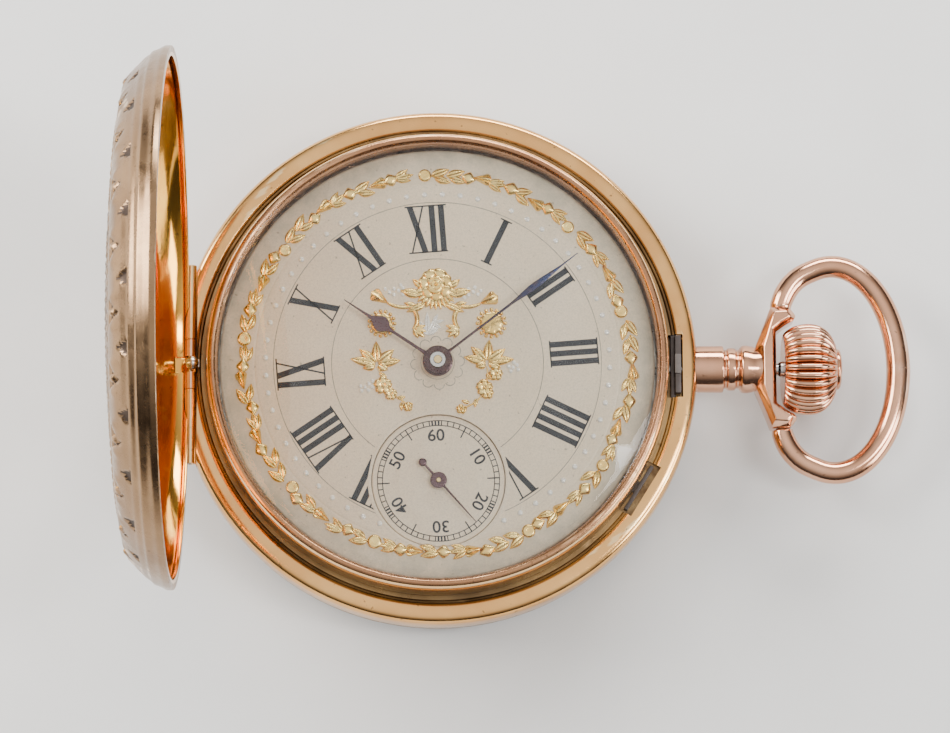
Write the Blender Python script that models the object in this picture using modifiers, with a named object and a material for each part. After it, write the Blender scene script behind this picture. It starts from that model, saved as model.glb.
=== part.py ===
"""Hunter pocket watch, modelled as an assembly of separate pieces.

Frame: metres, +Z up.  The origin is on the case axis, on the flat centre of
the back cover (the face it rests on).  +X points at the pendant and crown,
+Y at the twelve of an upright dial.  The front cover is modelled open.
Lengths below are millimetres; MM turns them into metres.
"""
import math

import bmesh
import bpy
from mathutils import Matrix, Vector

MM = 0.001

# ---- driving dimensions, millimetres and degrees -------------------------
CASE_R = 25.0            # rim of the case and of both covers
BULGE_R = 25.4           # widest part of the middle case
RIM_IN_R = 23.35         # inner edge of the flat rim
Z_RIM = 8.0              # flat rim the front cover closes on
Z_BACK = 3.2             # back edge of the middle case
AXIS_Z = 5.5             # pendant, stem and bow height
HINGE_X = -24.0          # both hinge axes
HINGE_Z = 7.9            # front hinge axis
HINGE_BACK_Z = 3.15      # back hinge axis
COVER_OPEN = 91.0        # front cover angle as modelled
KNUCKLE_R = 0.55
KNUCKLE_BORE = 0.29
HINGE_PIN_R = 0.22
HINGE_HALF = 9.8         # half length of the front hinge
KNUCKLE_SPLIT = 2.45     # half length of its middle knuckle
DIAL_R = 21.1
DIAL_Z = 9.0             # top of the dial
SUB_X, SUB_Y, SUB_R = 0.08, -11.555, 6.5
STEM_R = 0.6
BOW_WIRE_R = 1.1
BOW_PIVOT_X = 33.7
CROWN_R = 4.48
LEVER_AZ = -31.75        # setting lever azimuth
HOUR_ANGLE = 146.35      # hands, degrees from +X towards +Y
MINUTE_ANGLE = 37.75
SECOND_ANGLE = -48.45
SEG = 32                 # facets of a large turned piece

# pitch distances between movement centres, millimetres
CENTRE_TO_THIRD = 7.2
THIRD_TO_FOURTH = 5.95
FOURTH_TO_ESCAPE = 5.28
ESCAPE_TO_PALLET = 3.9
PALLET_TO_BALANCE = 3.8


def reach(start, length, degrees):
    a = math.radians(degrees)
    return (start[0] + length * math.cos(a), start[1] + length * math.sin(a))


def meet(a, ra, b, rb):
    """Point at ra from a and rb from b, on the left of the way from b to a."""
    dx, dy = b[0] - a[0], b[1] - a[1]
    d = math.hypot(dx, dy)
    along = (ra * ra - rb * rb + d * d) / (2 * d)
    off = math.sqrt(ra * ra - along * along)
    return (a[0] + (dx * along - dy * off) / d,
            a[1] + (dy * along + dx * off) / d)


# movement centres, millimetres
CENTRE = (0.0, 0.0)
BARREL = (4.95, 8.57)
FOURTH = (SUB_X, SUB_Y)
THIRD = meet(CENTRE, CENTRE_TO_THIRD, FOURTH, THIRD_TO_FOURTH)
ESCAPE = reach(FOURTH, FOURTH_TO_ESCAPE, 165)
PALLET = reach(ESCAPE, ESCAPE_TO_PALLET, 150)
BALANCE = reach(PALLET, PALLET_TO_BALANCE, 140)
CROWN_WHEEL = (9.6, 0.0)
MINUTE_STUD = (3.118, 1.8)
CLICK = (-3.28, 11.96)

for old in list(bpy.data.objects):
    bpy.data.objects.remove(old, do_unlink=True)

scene = bpy.context.scene
PARTS = bpy.data.collections.new("hunter_pocket_watch")
CUTS = bpy.data.collections.new("cutters")
scene.collection.children.link(PARTS)
scene.collection.children.link(CUTS)


# ---- materials -----------------------------------------------------------
def material(name, colour, rough, metal, transmission=0.0):
    mat = bpy.data.materials.new(name)
    mat.use_nodes = True
    bsdf = mat.node_tree.nodes["Principled BSDF"]
    bsdf.inputs["Base Color"].default_value = (*colour, 1.0)
    bsdf.inputs["Roughness"].default_value = rough
    bsdf.inputs["Metallic"].default_value = metal
    bsdf.inputs["Transmission Weight"].default_value = transmission
    return mat


ROSE = material("rose_gold", (0.80, 0.52, 0.36), 0.22, 1.0)
YELLOW = material("yellow_gold", (0.86, 0.62, 0.30), 0.20, 1.0)
GILT = material("gilt_brass", (0.78, 0.60, 0.30), 0.35, 1.0)
NICKEL = material("nickel", (0.70, 0.68, 0.62), 0.30, 1.0)
STEEL = material("steel", (0.55, 0.55, 0.56), 0.25, 1.0)
BLUED = material("blued_steel", (0.05, 0.06, 0.16), 0.28, 1.0)
SILVERED = material("silvered_dial", (0.74, 0.70, 0.62), 0.50, 0.35)
GLASS = material("crystal_glass", (0.97, 0.98, 0.98), 0.03, 0.0, 1.0)
RUBY = material("ruby", (0.55, 0.05, 0.12), 0.15, 0.0)


# ---- modelling helpers ---------------------------------------------------
def own(obj, mat, coll, parent=None):
    coll.objects.link(obj)
    if mat is not None:
        obj.data.materials.append(mat)
    if parent is not None:
        obj.parent = parent
    if coll is CUTS:
        obj.hide_render = True
        obj.display_type = 'WIRE'
    return obj


def smooth(mesh, angle=32.0):
    mesh.shade_smooth()
    mesh.set_sharp_from_angle(angle=math.radians(angle))


def mm(x, y, z):
    return Vector((x * MM, y * MM, z * MM))


TURN = {'Z': (0.0, 0.0, 0.0),
        'X': (0.0, math.pi / 2, 0.0),
        'Y': (-math.pi / 2, 0.0, 0.0)}


def turned(name, profile, mat, ring=False, steps=SEG, at=(0, 0, 0), axis='Z',
           coll=None, parent=None):
    """Turned piece.  profile is (radius, height) down the outer side; a ring
    closes on itself, a solid starts and ends on the axis."""
    mesh = bpy.data.meshes.new(name)
    verts = [(r * MM, 0.0, h * MM) for r, h in profile]
    edges = [(i, i + 1) for i in range(len(verts) - 1)]
    if ring:
        edges.append((len(verts) - 1, 0))
    mesh.from_pydata(verts, edges, [])
    obj = bpy.data.objects.new(name, mesh)
    own(obj, mat, coll or PARTS, parent)
    obj.location = mm(*at)
    obj.rotation_euler = TURN[axis]
    mod = obj.modifiers.new("Turn", 'SCREW')
    mod.axis = 'Z'
    mod.angle = 2 * math.pi
    mod.steps = steps
    mod.render_steps = steps
    mod.use_merge_vertices = True
    mod.merge_threshold = 0.000001
    mod.use_smooth_shade = True
    return obj


def rod(name, r, h0, h1, mat, at=(0, 0, 0), axis='Z', steps=16, coll=None,
        parent=None):
    """Cylinder along an axis from h0 to h1, measured from at."""
    mesh = bpy.data.meshes.new(name)
    bm = bmesh.new()
    bmesh.ops.create_cone(bm, cap_ends=True, cap_tris=False, segments=steps,
                          radius1=r * MM, radius2=r * MM,
                          depth=(h1 - h0) * MM,
                          matrix=Matrix.Translation((0, 0, (h0 + h1) / 2 * MM)))
    bm.to_mesh(mesh)
    bm.free()
    smooth(mesh)
    obj = bpy.data.objects.new(name, mesh)
    own(obj, mat, coll or PARTS, parent)
    obj.location = mm(*at)
    obj.rotation_euler = TURN[axis]
    return obj


def block(name, lo, hi, mat, at=(0, 0, 0), turn=0.0, coll=None, parent=None):
    """Box between two corners, turned about Z by turn degrees at `at`."""
    mesh = bpy.data.meshes.new(name)
    bm = bmesh.new()
    size = [(b - a) * MM for a, b in zip(lo, hi)]
    mid = [(a + b) / 2 * MM for a, b in zip(lo, hi)]
    bmesh.ops.create_cube(bm, size=1.0, matrix=Matrix.Translation(mid)
                          @ Matrix.Diagonal((*size, 1.0)))
    bm.to_mesh(mesh)
    bm.free()
    obj = bpy.data.objects.new(name, mesh)
    own(obj, mat, coll or PARTS, parent)
    obj.location = mm(*at)
    obj.rotation_euler = (0.0, 0.0, math.radians(turn))
    return obj


def ball(name, r, mat, at=(0, 0, 0), coll=None, parent=None, u=12, v=7):
    mesh = bpy.data.meshes.new(name)
    bm = bmesh.new()
    bmesh.ops.create_uvsphere(bm, u_segments=u, v_segments=v, radius=r * MM)
    bm.to_mesh(mesh)
    bm.free()
    mesh.shade_smooth()
    obj = bpy.data.objects.new(name, mesh)
    own(obj, mat, coll or PARTS, parent)
    obj.location = mm(*at)
    return obj


def curve_to_mesh(obj, name, mat, coll, parent):
    """Evaluated curve as a welded mesh in the same place."""
    bpy.context.view_layer.update()
    deps = bpy.context.evaluated_depsgraph_get()
    mesh = bpy.data.meshes.new_from_object(obj.evaluated_get(deps))
    bm = bmesh.new()
    bm.from_mesh(mesh)
    bmesh.ops.remove_doubles(bm, verts=bm.verts, dist=0.000001)
    bm.to_mesh(mesh)
    bm.free()
    mesh.materials.clear()
    made = bpy.data.objects.new(name, mesh)
    where = obj.matrix_world.copy()
    bpy.data.objects.remove(obj, do_unlink=True)
    own(made, mat, coll, None)
    made.matrix_world = where
    if parent is not None:
        made.parent = parent
        made.matrix_parent_inverse = parent.matrix_world.inverted()
    smooth(mesh)
    return made


def plate(name, loops, z0, z1, mat, at=(0, 0, 0), turn=0.0, coll=None,
          parent=None, axis='Z'):
    """Flat outline with holes, extruded from z0 to z1."""
    curve = bpy.data.curves.new(name + "_outline", 'CURVE')
    curve.dimensions = '2D'
    curve.fill_mode = 'BOTH'
    curve.extrude = (z1 - z0) / 2 * MM
    for loop in loops:
        spline = curve.splines.new('POLY')
        spline.points.add(len(loop) - 1)
        for point, (x, y) in zip(spline.points, loop):
            point.co = (x * MM, y * MM, 0.0, 1.0)
        spline.use_cyclic_u = True
    obj = bpy.data.objects.new(name + "_outline", curve)
    scene.collection.objects.link(obj)
    obj.matrix_world = (Matrix.Translation(mm(*at))
                        @ Matrix.Rotation(math.radians(turn), 4, 'Z')
                        @ Matrix.Translation(mm(0, 0, (z0 + z1) / 2)))
    return curve_to_mesh(obj, name, mat, coll or PARTS, parent)


def wire(name, points, r, mat, radii=None, coll=None, parent=None, res=2):
    """Round wire along points, with filled ends."""
    curve = bpy.data.curves.new(name + "_path", 'CURVE')
    curve.dimensions = '3D'
    curve.bevel_depth = r * MM
    curve.bevel_resolution = res
    curve.use_fill_caps = True
    spline = curve.splines.new('POLY')
    spline.points.add(len(points) - 1)
    for i, (x, y, z) in enumerate(points):
        spline.points[i].co = (x * MM, y * MM, z * MM, 1.0)
        spline.points[i].radius = radii[i] if radii else 1.0
    obj = bpy.data.objects.new(name + "_path", curve)
    scene.collection.objects.link(obj)
    return curve_to_mesh(obj, name, mat, coll or PARTS, parent)


def combine(obj, other, operation):
    if other.name not in CUTS.objects:
        for coll in list(other.users_collection):
            coll.objects.unlink(other)
        CUTS.objects.link(other)
    other.hide_render = True
    other.display_type = 'WIRE'
    mod = obj.modifiers.new(operation.title() + "_" + other.name, 'BOOLEAN')
    mod.operation = operation
    mod.solver = 'EXACT'
    mod.object = other
    return obj


def cut(obj, *others):
    for other in others:
        combine(obj, other, 'DIFFERENCE')
    return obj


def fuse(obj, *others):
    for other in others:
        combine(obj, other, 'UNION')
    return obj


def circle(r, n, cx=0.0, cy=0.0, phase=0.0):
    return [(cx + r * math.cos(phase + 2 * math.pi * i / n),
             cy + r * math.sin(phase + 2 * math.pi * i / n)) for i in range(n)]


def teeth(n, tip, root, phase=0.0):
    """Pointed teeth: one tip and one root point for each tooth."""
    pts = []
    for i in range(n):
        a = phase + 2 * math.pi * i / n
        pts.append((tip * math.cos(a), tip * math.sin(a)))
        b = a + math.pi / n
        pts.append((root * math.cos(b), root * math.sin(b)))
    return pts


def empty(name, at, rot=(0, 0, 0)):
    obj = bpy.data.objects.new(name, None)
    PARTS.objects.link(obj)
    obj.empty_display_size = 0.004
    obj.location = mm(*at)
    obj.rotation_euler = [math.radians(a) for a in rot]
    bpy.context.view_layer.update()
    return obj

# ---- middle case ---------------------------------------------------------
band = turned("case_band", [
    (CASE_R, Z_RIM), (25.33, 7.2), (BULGE_R, AXIS_Z), (25.3, 4.0),
    (25.1, Z_BACK), (22.6, Z_BACK), (22.6, 5.3), (21.2, 5.3), (21.2, 5.9),
    (22.1, 5.9), (22.1, 7.4), (RIM_IN_R, 7.4), (RIM_IN_R, Z_RIM)],
    ROSE, ring=True)
cut(band,
    block("cut_front_hinge", (-27, -9.9, 6.5), (-23.35, 9.9, 8.5), None,
          coll=CUTS),
    block("cut_back_hinge", (-27, -8.5, 3.0), (-23.35, 8.5, 4.9), None,
          coll=CUTS),
    rod("cut_pendant_seat", 2.27, 25.05, 27.0, None, at=(0, 0, AXIS_Z),
        axis='X', steps=20, coll=CUTS),
    rod("cut_stem_hole", 0.9, 20.8, 26.0, None, at=(0, 0, AXIS_Z),
        axis='X', steps=12, coll=CUTS),
    block("cut_catch_slot", (22.25, -3.25, 6.3), (23.95, 3.25, 8.5), None,
          coll=CUTS),
    block("cut_lock_spring", (22.2, -7.2, 6.25), (23.25, 7.2, 7.45), None,
          coll=CUTS),
    block("cut_lift_spring", (-23.5, -4.1, 6.25), (-22.2, 4.1, 7.45), None,
          coll=CUTS),
    block("cut_lever_slot", (22.05, -2.8, 7.17), (23.85, 2.8, 8.5), None,
          turn=LEVER_AZ, coll=CUTS))

# ---- bezel and crystal ---------------------------------------------------
turned("bezel", [
    (21.87, 11.5), (22.15, 11.35), (22.35, 10.8), (22.55, 8.3),
    (22.55, 7.45), (21.3, 7.45), (21.3, 10.72), (21.56, 10.72),
    (21.56, 11.22), (21.45, 11.26), (21.6, 11.4)], ROSE, ring=True)
turned("crystal", [
    (0.0, 13.0), (9.0, 12.7), (16.5, 11.9), (21.2, 11.18), (21.5, 11.18),
    (21.5, 10.77), (21.0, 10.77), (16.0, 11.4), (9.0, 12.1),
    (0.0, 12.42)], GLASS)

# ---- front cover and its hinge -------------------------------------------
cover_hinge = empty("front_cover_hinge_axis", (HINGE_X, 0, HINGE_Z),
                    (0, -COVER_OPEN, 0))
CLOSED = (-HINGE_X, 0, -HINGE_Z)      # case axis, seen from the hinge
cover = turned("front_cover", [
    (0.0, 13.85), (10.0, 13.68), (18.5, 12.85), (22.6, 11.8), (24.5, 9.6),
    (CASE_R, 8.03), (24.05, 8.03), (24.05, 8.35), (24.3, 8.6),
    (23.8, 9.8), (22.3, 11.5), (18.0, 12.5), (10.0, 13.22),
    (0.0, 13.42)],
    ROSE, at=CLOSED, parent=cover_hinge)
cut(cover,
    rod("cut_cover_knuckles", 0.62, -9.95, 9.95, None, axis='Y', steps=16,
        coll=CUTS, parent=cover_hinge),
    block("cut_cover_tip_pocket", (-24.62, -0.8, 7.5), (-22.5, 0.8, 9.65),
          None, at=CLOSED, coll=CUTS, parent=cover_hinge))


def knuckle(name, y0, y1, mat, at=(0, 0, 0), parent=None):
    return turned(name, [(KNUCKLE_R, y1), (KNUCKLE_R, y0),
                         (KNUCKLE_BORE, y0), (KNUCKLE_BORE, y1)], mat,
                  ring=True, steps=12, at=at, axis='Y', parent=parent)


mid = knuckle("cover_knuckle", -KNUCKLE_SPLIT + 0.02, KNUCKLE_SPLIT - 0.02,
              ROSE, parent=cover_hinge)
window = block("cut_cover_knuckle_window", (-0.05, -0.78, -1.0),
               (1.2, 0.78, 1.0), None, coll=CUTS, parent=cover_hinge)
window.rotation_euler = (0.0, math.radians(-29.5), 0.0)
cut(mid, window)
FRONT_AXIS = (HINGE_X, 0, HINGE_Z)
knuckle("case_knuckle_upper", KNUCKLE_SPLIT + 0.02, HINGE_HALF, ROSE,
        at=FRONT_AXIS)
knuckle("case_knuckle_lower", -HINGE_HALF, -KNUCKLE_SPLIT - 0.02, ROSE,
        at=FRONT_AXIS)
rod("front_hinge_pin", HINGE_PIN_R, -HINGE_HALF - 0.05, HINGE_HALF + 0.05,
    STEEL, at=FRONT_AXIS, axis='Y', steps=12)

# ---- back cover and dust cover on one hinge ------------------------------
back_hinge = empty("back_cover_hinge_axis", (HINGE_X, 0, HINGE_BACK_Z))
BACK = (-HINGE_X, 0, -HINGE_BACK_Z)
back = turned("back_cover", [
    (0.0, 0.5), (13.2, 0.5), (20.5, 0.92), (24.0, 1.95), (24.6, 2.7),
    (24.6, 3.12), (25.2, 3.12), (25.1, 2.2), (24.3, 1.3), (20.5, 0.38),
    (13.5, 0.0), (0.0, 0.0)],
    ROSE, at=BACK, parent=back_hinge)
cut(back, rod("cut_back_knuckles", 0.62, -7.75, 7.75, None, axis='Y',
              steps=16, coll=CUTS, parent=back_hinge))
dust_hinge = empty("dust_cover_hinge_axis", (HINGE_X, 0, HINGE_BACK_Z))
turned("cuvette", [
    (0.0, 1.85), (12.0, 1.92), (20.0, 2.3), (22.4, 3.12), (23.0, 3.12),
    (22.7, 2.5), (20.0, 1.95), (12.0, 1.57), (0.0, 1.5)], YELLOW, at=BACK, parent=dust_hinge)
knuckle("cuvette_knuckle", -1.4, 1.4, YELLOW, parent=dust_hinge)
knuckle("back_knuckle_upper", 1.44, 4.2, ROSE, parent=back_hinge)
knuckle("back_knuckle_lower", -4.2, -1.44, ROSE, parent=back_hinge)
BACK_AXIS = (HINGE_X, 0, HINGE_BACK_Z)
knuckle("band_back_knuckle_upper", 4.24, 7.5, ROSE, at=BACK_AXIS)
knuckle("band_back_knuckle_lower", -7.5, -4.24, ROSE, at=BACK_AXIS)
rod("back_hinge_pin", HINGE_PIN_R, -7.55, 7.55, STEEL, at=BACK_AXIS,
    axis='Y', steps=12)

# ---- case springs and setting lever --------------------------------------
lift = block("lift_spring", (-23.3, -3.9, 6.35), (-22.75, 3.9, 7.3), STEEL)
fuse(lift,
     block("join_lift_strip", (-23.32, -0.5, 6.6), (-23.0, 0.5, 8.95), None,
           coll=CUTS),
     ball("join_lift_tip", 0.65, None, at=(-23.8, 0, 8.83), coll=CUTS))
lock = block("lock_spring", (22.75, -7.0, 6.35), (23.2, 7.0, 7.3), STEEL)
fuse(lock, block("join_lock_nose", (23.1, -2.9, 6.45), (23.7, 2.9, 8.75),
                 None, coll=CUTS))
lever = block("setting_lever", (22.75, -2.5, 7.24), (23.2, 2.5, 7.9), STEEL,
              turn=LEVER_AZ)
fuse(lever, block("join_lever_arm", (17.5, -0.6, 7.25), (22.9, 0.6, 7.41),
                  None, turn=LEVER_AZ, coll=CUTS))

# ---- pendant, crown, stem and bow ----------------------------------------
ON_AXIS = (0, 0, AXIS_Z)
pendant = turned("pendant", [
    (2.29, 31.6), (2.29, 29.75), (1.95, 29.6), (2.2, 29.2), (1.95, 28.85),
    (2.2, 28.45), (1.95, 28.1), (2.215, 27.95), (2.215, 25.1),
    (1.2, 25.1), (1.2, 31.6)], ROSE, ring=True, steps=16, at=ON_AXIS,
    axis='X')
YOKE = [(31.2, 2.2), (31.9, 3.9), (32.5, 5.6), (32.8, 6.0), (34.5, 6.0),
        (35.1, 5.0), (34.9, 4.65), (34.0, 4.15), (33.1, 3.5)]
yoke = plate("join_yoke", [[(x, -y) for x, y in YOKE]
                           + [(x, y) for x, y in reversed(YOKE)]],
             -1.9, 1.9, None, at=ON_AXIS, coll=CUTS)
fuse(pendant, yoke)
cut(pendant,
    rod("cut_pendant_bore", 1.21, 31.0, 34.0, None, at=ON_AXIS, axis='X',
        steps=16, coll=CUTS),
    rod("cut_ear_upper", 0.62, 4.4, 6.5, None,
        at=(BOW_PIVOT_X, 0, AXIS_Z), axis='Y', steps=12, coll=CUTS),
    rod("cut_ear_lower", 0.62, -6.5, -4.4, None,
        at=(BOW_PIVOT_X, 0, AXIS_Z), axis='Y', steps=12, coll=CUTS))
turned("crown", [
    (0.0, 39.05), (2.4, 39.05), (3.3, 38.75), (4.05, 38.0), (4.4, 37.2),
    (CROWN_R, 36.4), (4.42, 35.6), (4.2, 34.85), (3.85, 34.25),
    (3.45, 33.85), (0.85, 33.85), (0.85, 38.4), (0.0, 38.4)],
    ROSE, steps=24, at=ON_AXIS, axis='X')
turned("crown_cap", [
    (0.0, 39.66), (1.5, 39.6), (2.0, 39.4), (2.0, 39.08), (0.0, 39.08)],
    ROSE, steps=20, at=ON_AXIS, axis='X')
turned("winding_stem", [
    (0.0, 38.35), (0.8, 38.35), (0.8, 33.6), (STEM_R, 33.4), (STEM_R, 10.0),
    (0.4, 9.9), (0.4, 9.3), (0.0, 9.3)], STEEL, steps=12, at=ON_AXIS, axis='X')
turned("stem_collar", [(1.12, 28.5), (1.12, 26.5), (0.66, 26.5),
                       (0.66, 28.5)], STEEL, ring=True, steps=16,
       at=ON_AXIS, axis='X')
pinion = plate("winding_pinion", [teeth(12, 1.5, 1.15),
                                  circle(0.66, 12)], -1.0, 1.0, STEEL,
               at=(0, 0, 0))
pinion.data.transform(Matrix.Rotation(math.pi / 2, 4, 'Y'))
pinion.location = mm(12.1, 0, AXIS_Z)

BOW_A, BOW_B, BOW_MID_X = 6.4, 10.3, 38.8


def bow_path():
    """Half of the bow's centre line, from the pin in the ear to the far
    middle: a straight pin, a shoulder, then a quarter of an ellipse."""
    half = [(BOW_PIVOT_X, 4.7), (BOW_PIVOT_X, 6.12), (BOW_PIVOT_X, 6.2),
            (33.75, 6.9), (34.35, 8.2), (35.7, 9.5)]
    for i in range(8):
        a = math.radians(108 - i * 13.5)
        half.append((BOW_MID_X + BOW_A * math.cos(a), BOW_B * math.sin(a)))
    return half


HALF = bow_path()
PATH = HALF + [(BOW_MID_X + BOW_A, 0.0)] + [(x, -y) for x, y in
                                            reversed(HALF)]
THIN = [0.45, 0.45, 0.98] + [1.0] * (len(HALF) - 3)
bow = wire("bow", [(x, y, AXIS_Z) for x, y in PATH], BOW_WIRE_R, ROSE,
           radii=THIN + [1.0] + THIN[::-1])
bow.data.transform(Matrix.Translation(-mm(BOW_PIVOT_X, 0, AXIS_Z)))
bow.location = mm(BOW_PIVOT_X, 0, AXIS_Z)

# ---- dial and hands ------------------------------------------------------
dial = turned("dial", [(0.0, DIAL_Z), (DIAL_R, DIAL_Z), (DIAL_R, 8.6),
                       (0.0, 8.6)], SILVERED)
FEET = [(4.66, 17.39), (-4.66, -17.39)]
for i, (x, y) in enumerate(FEET):
    fuse(dial, rod(f"join_dial_foot_{i}", 0.35, 7.35, 8.7, None,
                   at=(x, y, 0), steps=8, coll=CUTS))
cut(dial,
    rod("cut_dial_centre", 1.3, 8.0, 9.5, None, steps=20, coll=CUTS),
    rod("cut_dial_seconds", SUB_R, 8.0, 9.5, None, at=(SUB_X, SUB_Y, 0),
        steps=24, coll=CUTS))
turned("seconds_dial", [(SUB_R - 0.08, 8.8), (SUB_R - 0.08, 8.45),
                        (0.35, 8.45), (0.35, 8.8)], SILVERED, ring=True,
       steps=24, at=(SUB_X, SUB_Y, 0))


def hand(name, hub, bore, tail, widths, z0, z1, angle, at):
    """Hand along +X: a hub, an optional round tail and a list of
    (distance, half width) out to the tip."""
    start = math.degrees(math.asin(widths[0][1] / hub))
    top = []
    if tail:
        reach, r, stalk = tail
        for i in range(7):
            a = math.radians(180 - i * 25)
            top.append((-reach + r * math.cos(a), r * math.sin(a)))
        back = math.degrees(math.asin(stalk / hub))
        top.append((-hub * math.cos(math.radians(back)) - 0.3, stalk))
        arc0 = 180 - back
    else:
        arc0 = 180
    n = 8
    for i in range(n + 1):
        a = math.radians(arc0 + (start - arc0) * i / n)
        top.append((hub * math.cos(a), hub * math.sin(a)))
    top += [(x, w) for x, w in widths[1:]]
    low = [(x, -y) for x, y in reversed(top) if y > 0.001]
    return plate(name, [top + low, circle(bore, 14)], z0, z1, BLUED, at=at,
                 turn=angle)


hand("hour_hand", 1.47, 1.2, None,
     [(1.45, 0.24), (1.8, 0.2), (5.4, 0.16), (5.9, 0.55), (6.5, 0.85),
      (7.1, 0.6), (7.8, 0.18), (10.9, 0.03)],
     9.9, 10.08, HOUR_ANGLE, (0, 0, 0))
hand("minute_hand", 1.4, 0.79, None,
     [(1.4, 0.2), (1.8, 0.13), (9.0, 0.13), (11.0, 0.45), (13.0, 0.36),
      (17.2, 0.03)], 10.66, 10.84, MINUTE_ANGLE, (0, 0, 0))
hand("seconds_hand", 0.8, 0.25, (2.33, 0.5, 0.09),
     [(0.8, 0.13), (1.2, 0.1), (5.5, 0.03)], 9.3, 9.42, SECOND_ANGLE,
     (SUB_X, SUB_Y, 0))

# ---- motion work ---------------------------------------------------------
cannon = turned("cannon_pinion", [(0.75, 10.9), (0.75, 7.32), (0.43, 7.32),
                                  (0.43, 10.9)], STEEL, ring=True, steps=14)
fuse(cannon, plate("join_cannon_leaves", [teeth(8, 0.94, 0.7),
                                          circle(0.6, 8)],
                   7.35, 7.7, None, coll=CUTS))
minute = plate("minute_wheel", [teeth(24, 2.74, 2.35), circle(0.42, 8)],
               7.4, 7.64, GILT, at=(*MINUTE_STUD, 0))
fuse(minute, plate("join_minute_leaves", [teeth(8, 0.76, 0.5),
                                          circle(0.42, 8)],
                   7.6, 8.15, None, at=(*MINUTE_STUD, 0), coll=CUTS))
hour = turned("hour_wheel", [(1.15, 10.15), (1.15, 7.85), (0.82, 7.85),
                             (0.82, 10.15)], GILT, ring=True, steps=14)
fuse(hour, plate("join_hour_teeth", [teeth(32, 2.92, 2.55),
                                     circle(1.0, 12)],
                 7.86, 8.1, None, coll=CUTS))
turned("dial_washer", [(2.0, 8.5), (2.0, 8.25), (1.22, 8.25), (1.22, 8.5)],
       GILT, ring=True, steps=16)

# ---- main plate ----------------------------------------------------------
main = turned("mainplate", [
    (0.0, 7.2), (20.0, 7.2), (20.0, 8.55), (21.0, 8.55), (21.0, 7.2),
    (21.9, 7.2), (21.9, 5.96), (0.0, 5.96)], NICKEL)
fuse(main, rod("join_minute_stud", 0.35, 7.0, 8.1, None,
               at=(*MINUTE_STUD, 0), steps=10, coll=CUTS))
SCREWS = [(-3.58, 20.29), (-3.58, -20.29)]
cut(main,
    rod("cut_plate_centre", 0.6, 5.5, 7.6, None, steps=12, coll=CUTS),
    rod("cut_plate_seconds", 0.35, 5.5, 7.6, None, at=(*FOURTH, 0),
        steps=10, coll=CUTS),
    block("cut_plate_pinion", (10.3, -1.75, 5.5), (13.5, 1.75, 7.6), None,
          coll=CUTS),
    rod("cut_plate_stem", 0.78, 8.0, 22.5, None, at=ON_AXIS, axis='X',
        steps=12, coll=CUTS),
    block("cut_plate_lever", (16.5, -0.8, 7.15), (22.5, 0.8, 7.5), None,
          turn=LEVER_AZ, coll=CUTS))
for i, (x, y) in enumerate(FEET):
    cut(main, rod(f"cut_plate_foot_{i}", 0.45, 6.7, 7.6, None, at=(x, y, 0),
                  steps=8, coll=CUTS))
for i, (x, y) in enumerate(SCREWS):
    cut(main, rod(f"cut_plate_screw_{i}", 0.48, 5.5, 7.6, None, at=(x, y, 0),
                  steps=10, coll=CUTS))
    turned(f"case_screw_{i + 1}", [(0.0, 6.95), (0.4, 6.95), (0.4, 5.25),
                                   (0.9, 5.25), (0.9, 4.9), (0.0, 4.9)],
           STEEL, steps=12, at=(x, y, 0))
for label, spot in (("barrel", BARREL), ("third", THIRD),
                    ("escape", ESCAPE), ("pallet", PALLET),
                    ("balance", BALANCE)):
    cut(main, rod(f"cut_plate_{label}", 0.2, 5.5, 6.6, None,
                  at=(*spot, 0), steps=8, coll=CUTS))

# ---- bridges and cocks ---------------------------------------------------
BRIDGE_BACK, BRIDGE_FRONT = 3.02, 3.82


def bridge(name, outline, posts, post_r, holes, z0=BRIDGE_BACK,
           z1=BRIDGE_FRONT):
    made = plate(name, [outline], z0, z1, NICKEL)
    for i, (x, y) in enumerate(posts):
        fuse(made, rod(f"join_{name}_post_{i}", post_r, z1 - 0.2, 5.9, None,
                       at=(x, y, 0), steps=12, coll=CUTS))
    for i, (x, y, r) in enumerate(holes):
        cut(made, rod(f"cut_{name}_hole_{i}", r, z0 - 0.5, z1 + 0.4, None,
                      at=(x, y, 0), steps=16 if r > 0.8 else 8, coll=CUTS))
    return made


barrel_bridge = bridge(
    "barrel_bridge",
    [(-7.5, 4.6), (-3.0, 3.2), (2.0, 2.2), (6.2, 2.2), (6.2, -3.6),
     (13.0, -3.6), (15.8, -1.0), (18.2, 4.6), (18.2, 8.5), (15.5, 12.8),
     (8.0, 18.2),
     (0.0, 19.2), (-6.5, 15.5), (-7.7, 9.0)],
    [(-6.2, 6.0), (-5.2, 14.2), (16.0, 9.6)], 1.0,
    [(*BARREL, 1.02), (*CROWN_WHEEL, 2.4)])
fuse(barrel_bridge, rod("join_click_stud", 0.35, 2.6, 3.2, None,
                        at=(*CLICK, 0), steps=8, coll=CUTS))
bridge("train_bridge",
       [(-2.5, 1.5), (-2.8, -7.3), (-5.9, -8.6), (-6.3, -11.5),
        (-4.5, -18.3), (5.0, -18.0), (12.0, -14.6), (16.8, -6.5),
        (15.8, -4.1), (5.8, -4.1), (5.8, 1.5)],
       [(13.6, -6.5), (8.6, -14.6), (-3.3, -17.0)], 0.9,
       [(*CENTRE, 0.4), (*THIRD, 0.22), (*FOURTH, 0.22), (*ESCAPE, 0.22)])


def strip(points, width):
    """Outline of a bar of even width along a bent line."""
    left, right = [], []
    for i, (x, y) in enumerate(points):
        x0, y0 = points[max(i - 1, 0)]
        x1, y1 = points[min(i + 1, len(points) - 1)]
        length = math.hypot(x1 - x0, y1 - y0)
        nx, ny = -(y1 - y0) / length, (x1 - x0) / length
        left.append((x + nx * width / 2, y + ny * width / 2))
        right.append((x - nx * width / 2, y - ny * width / 2))
    return right + left[::-1]


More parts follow.
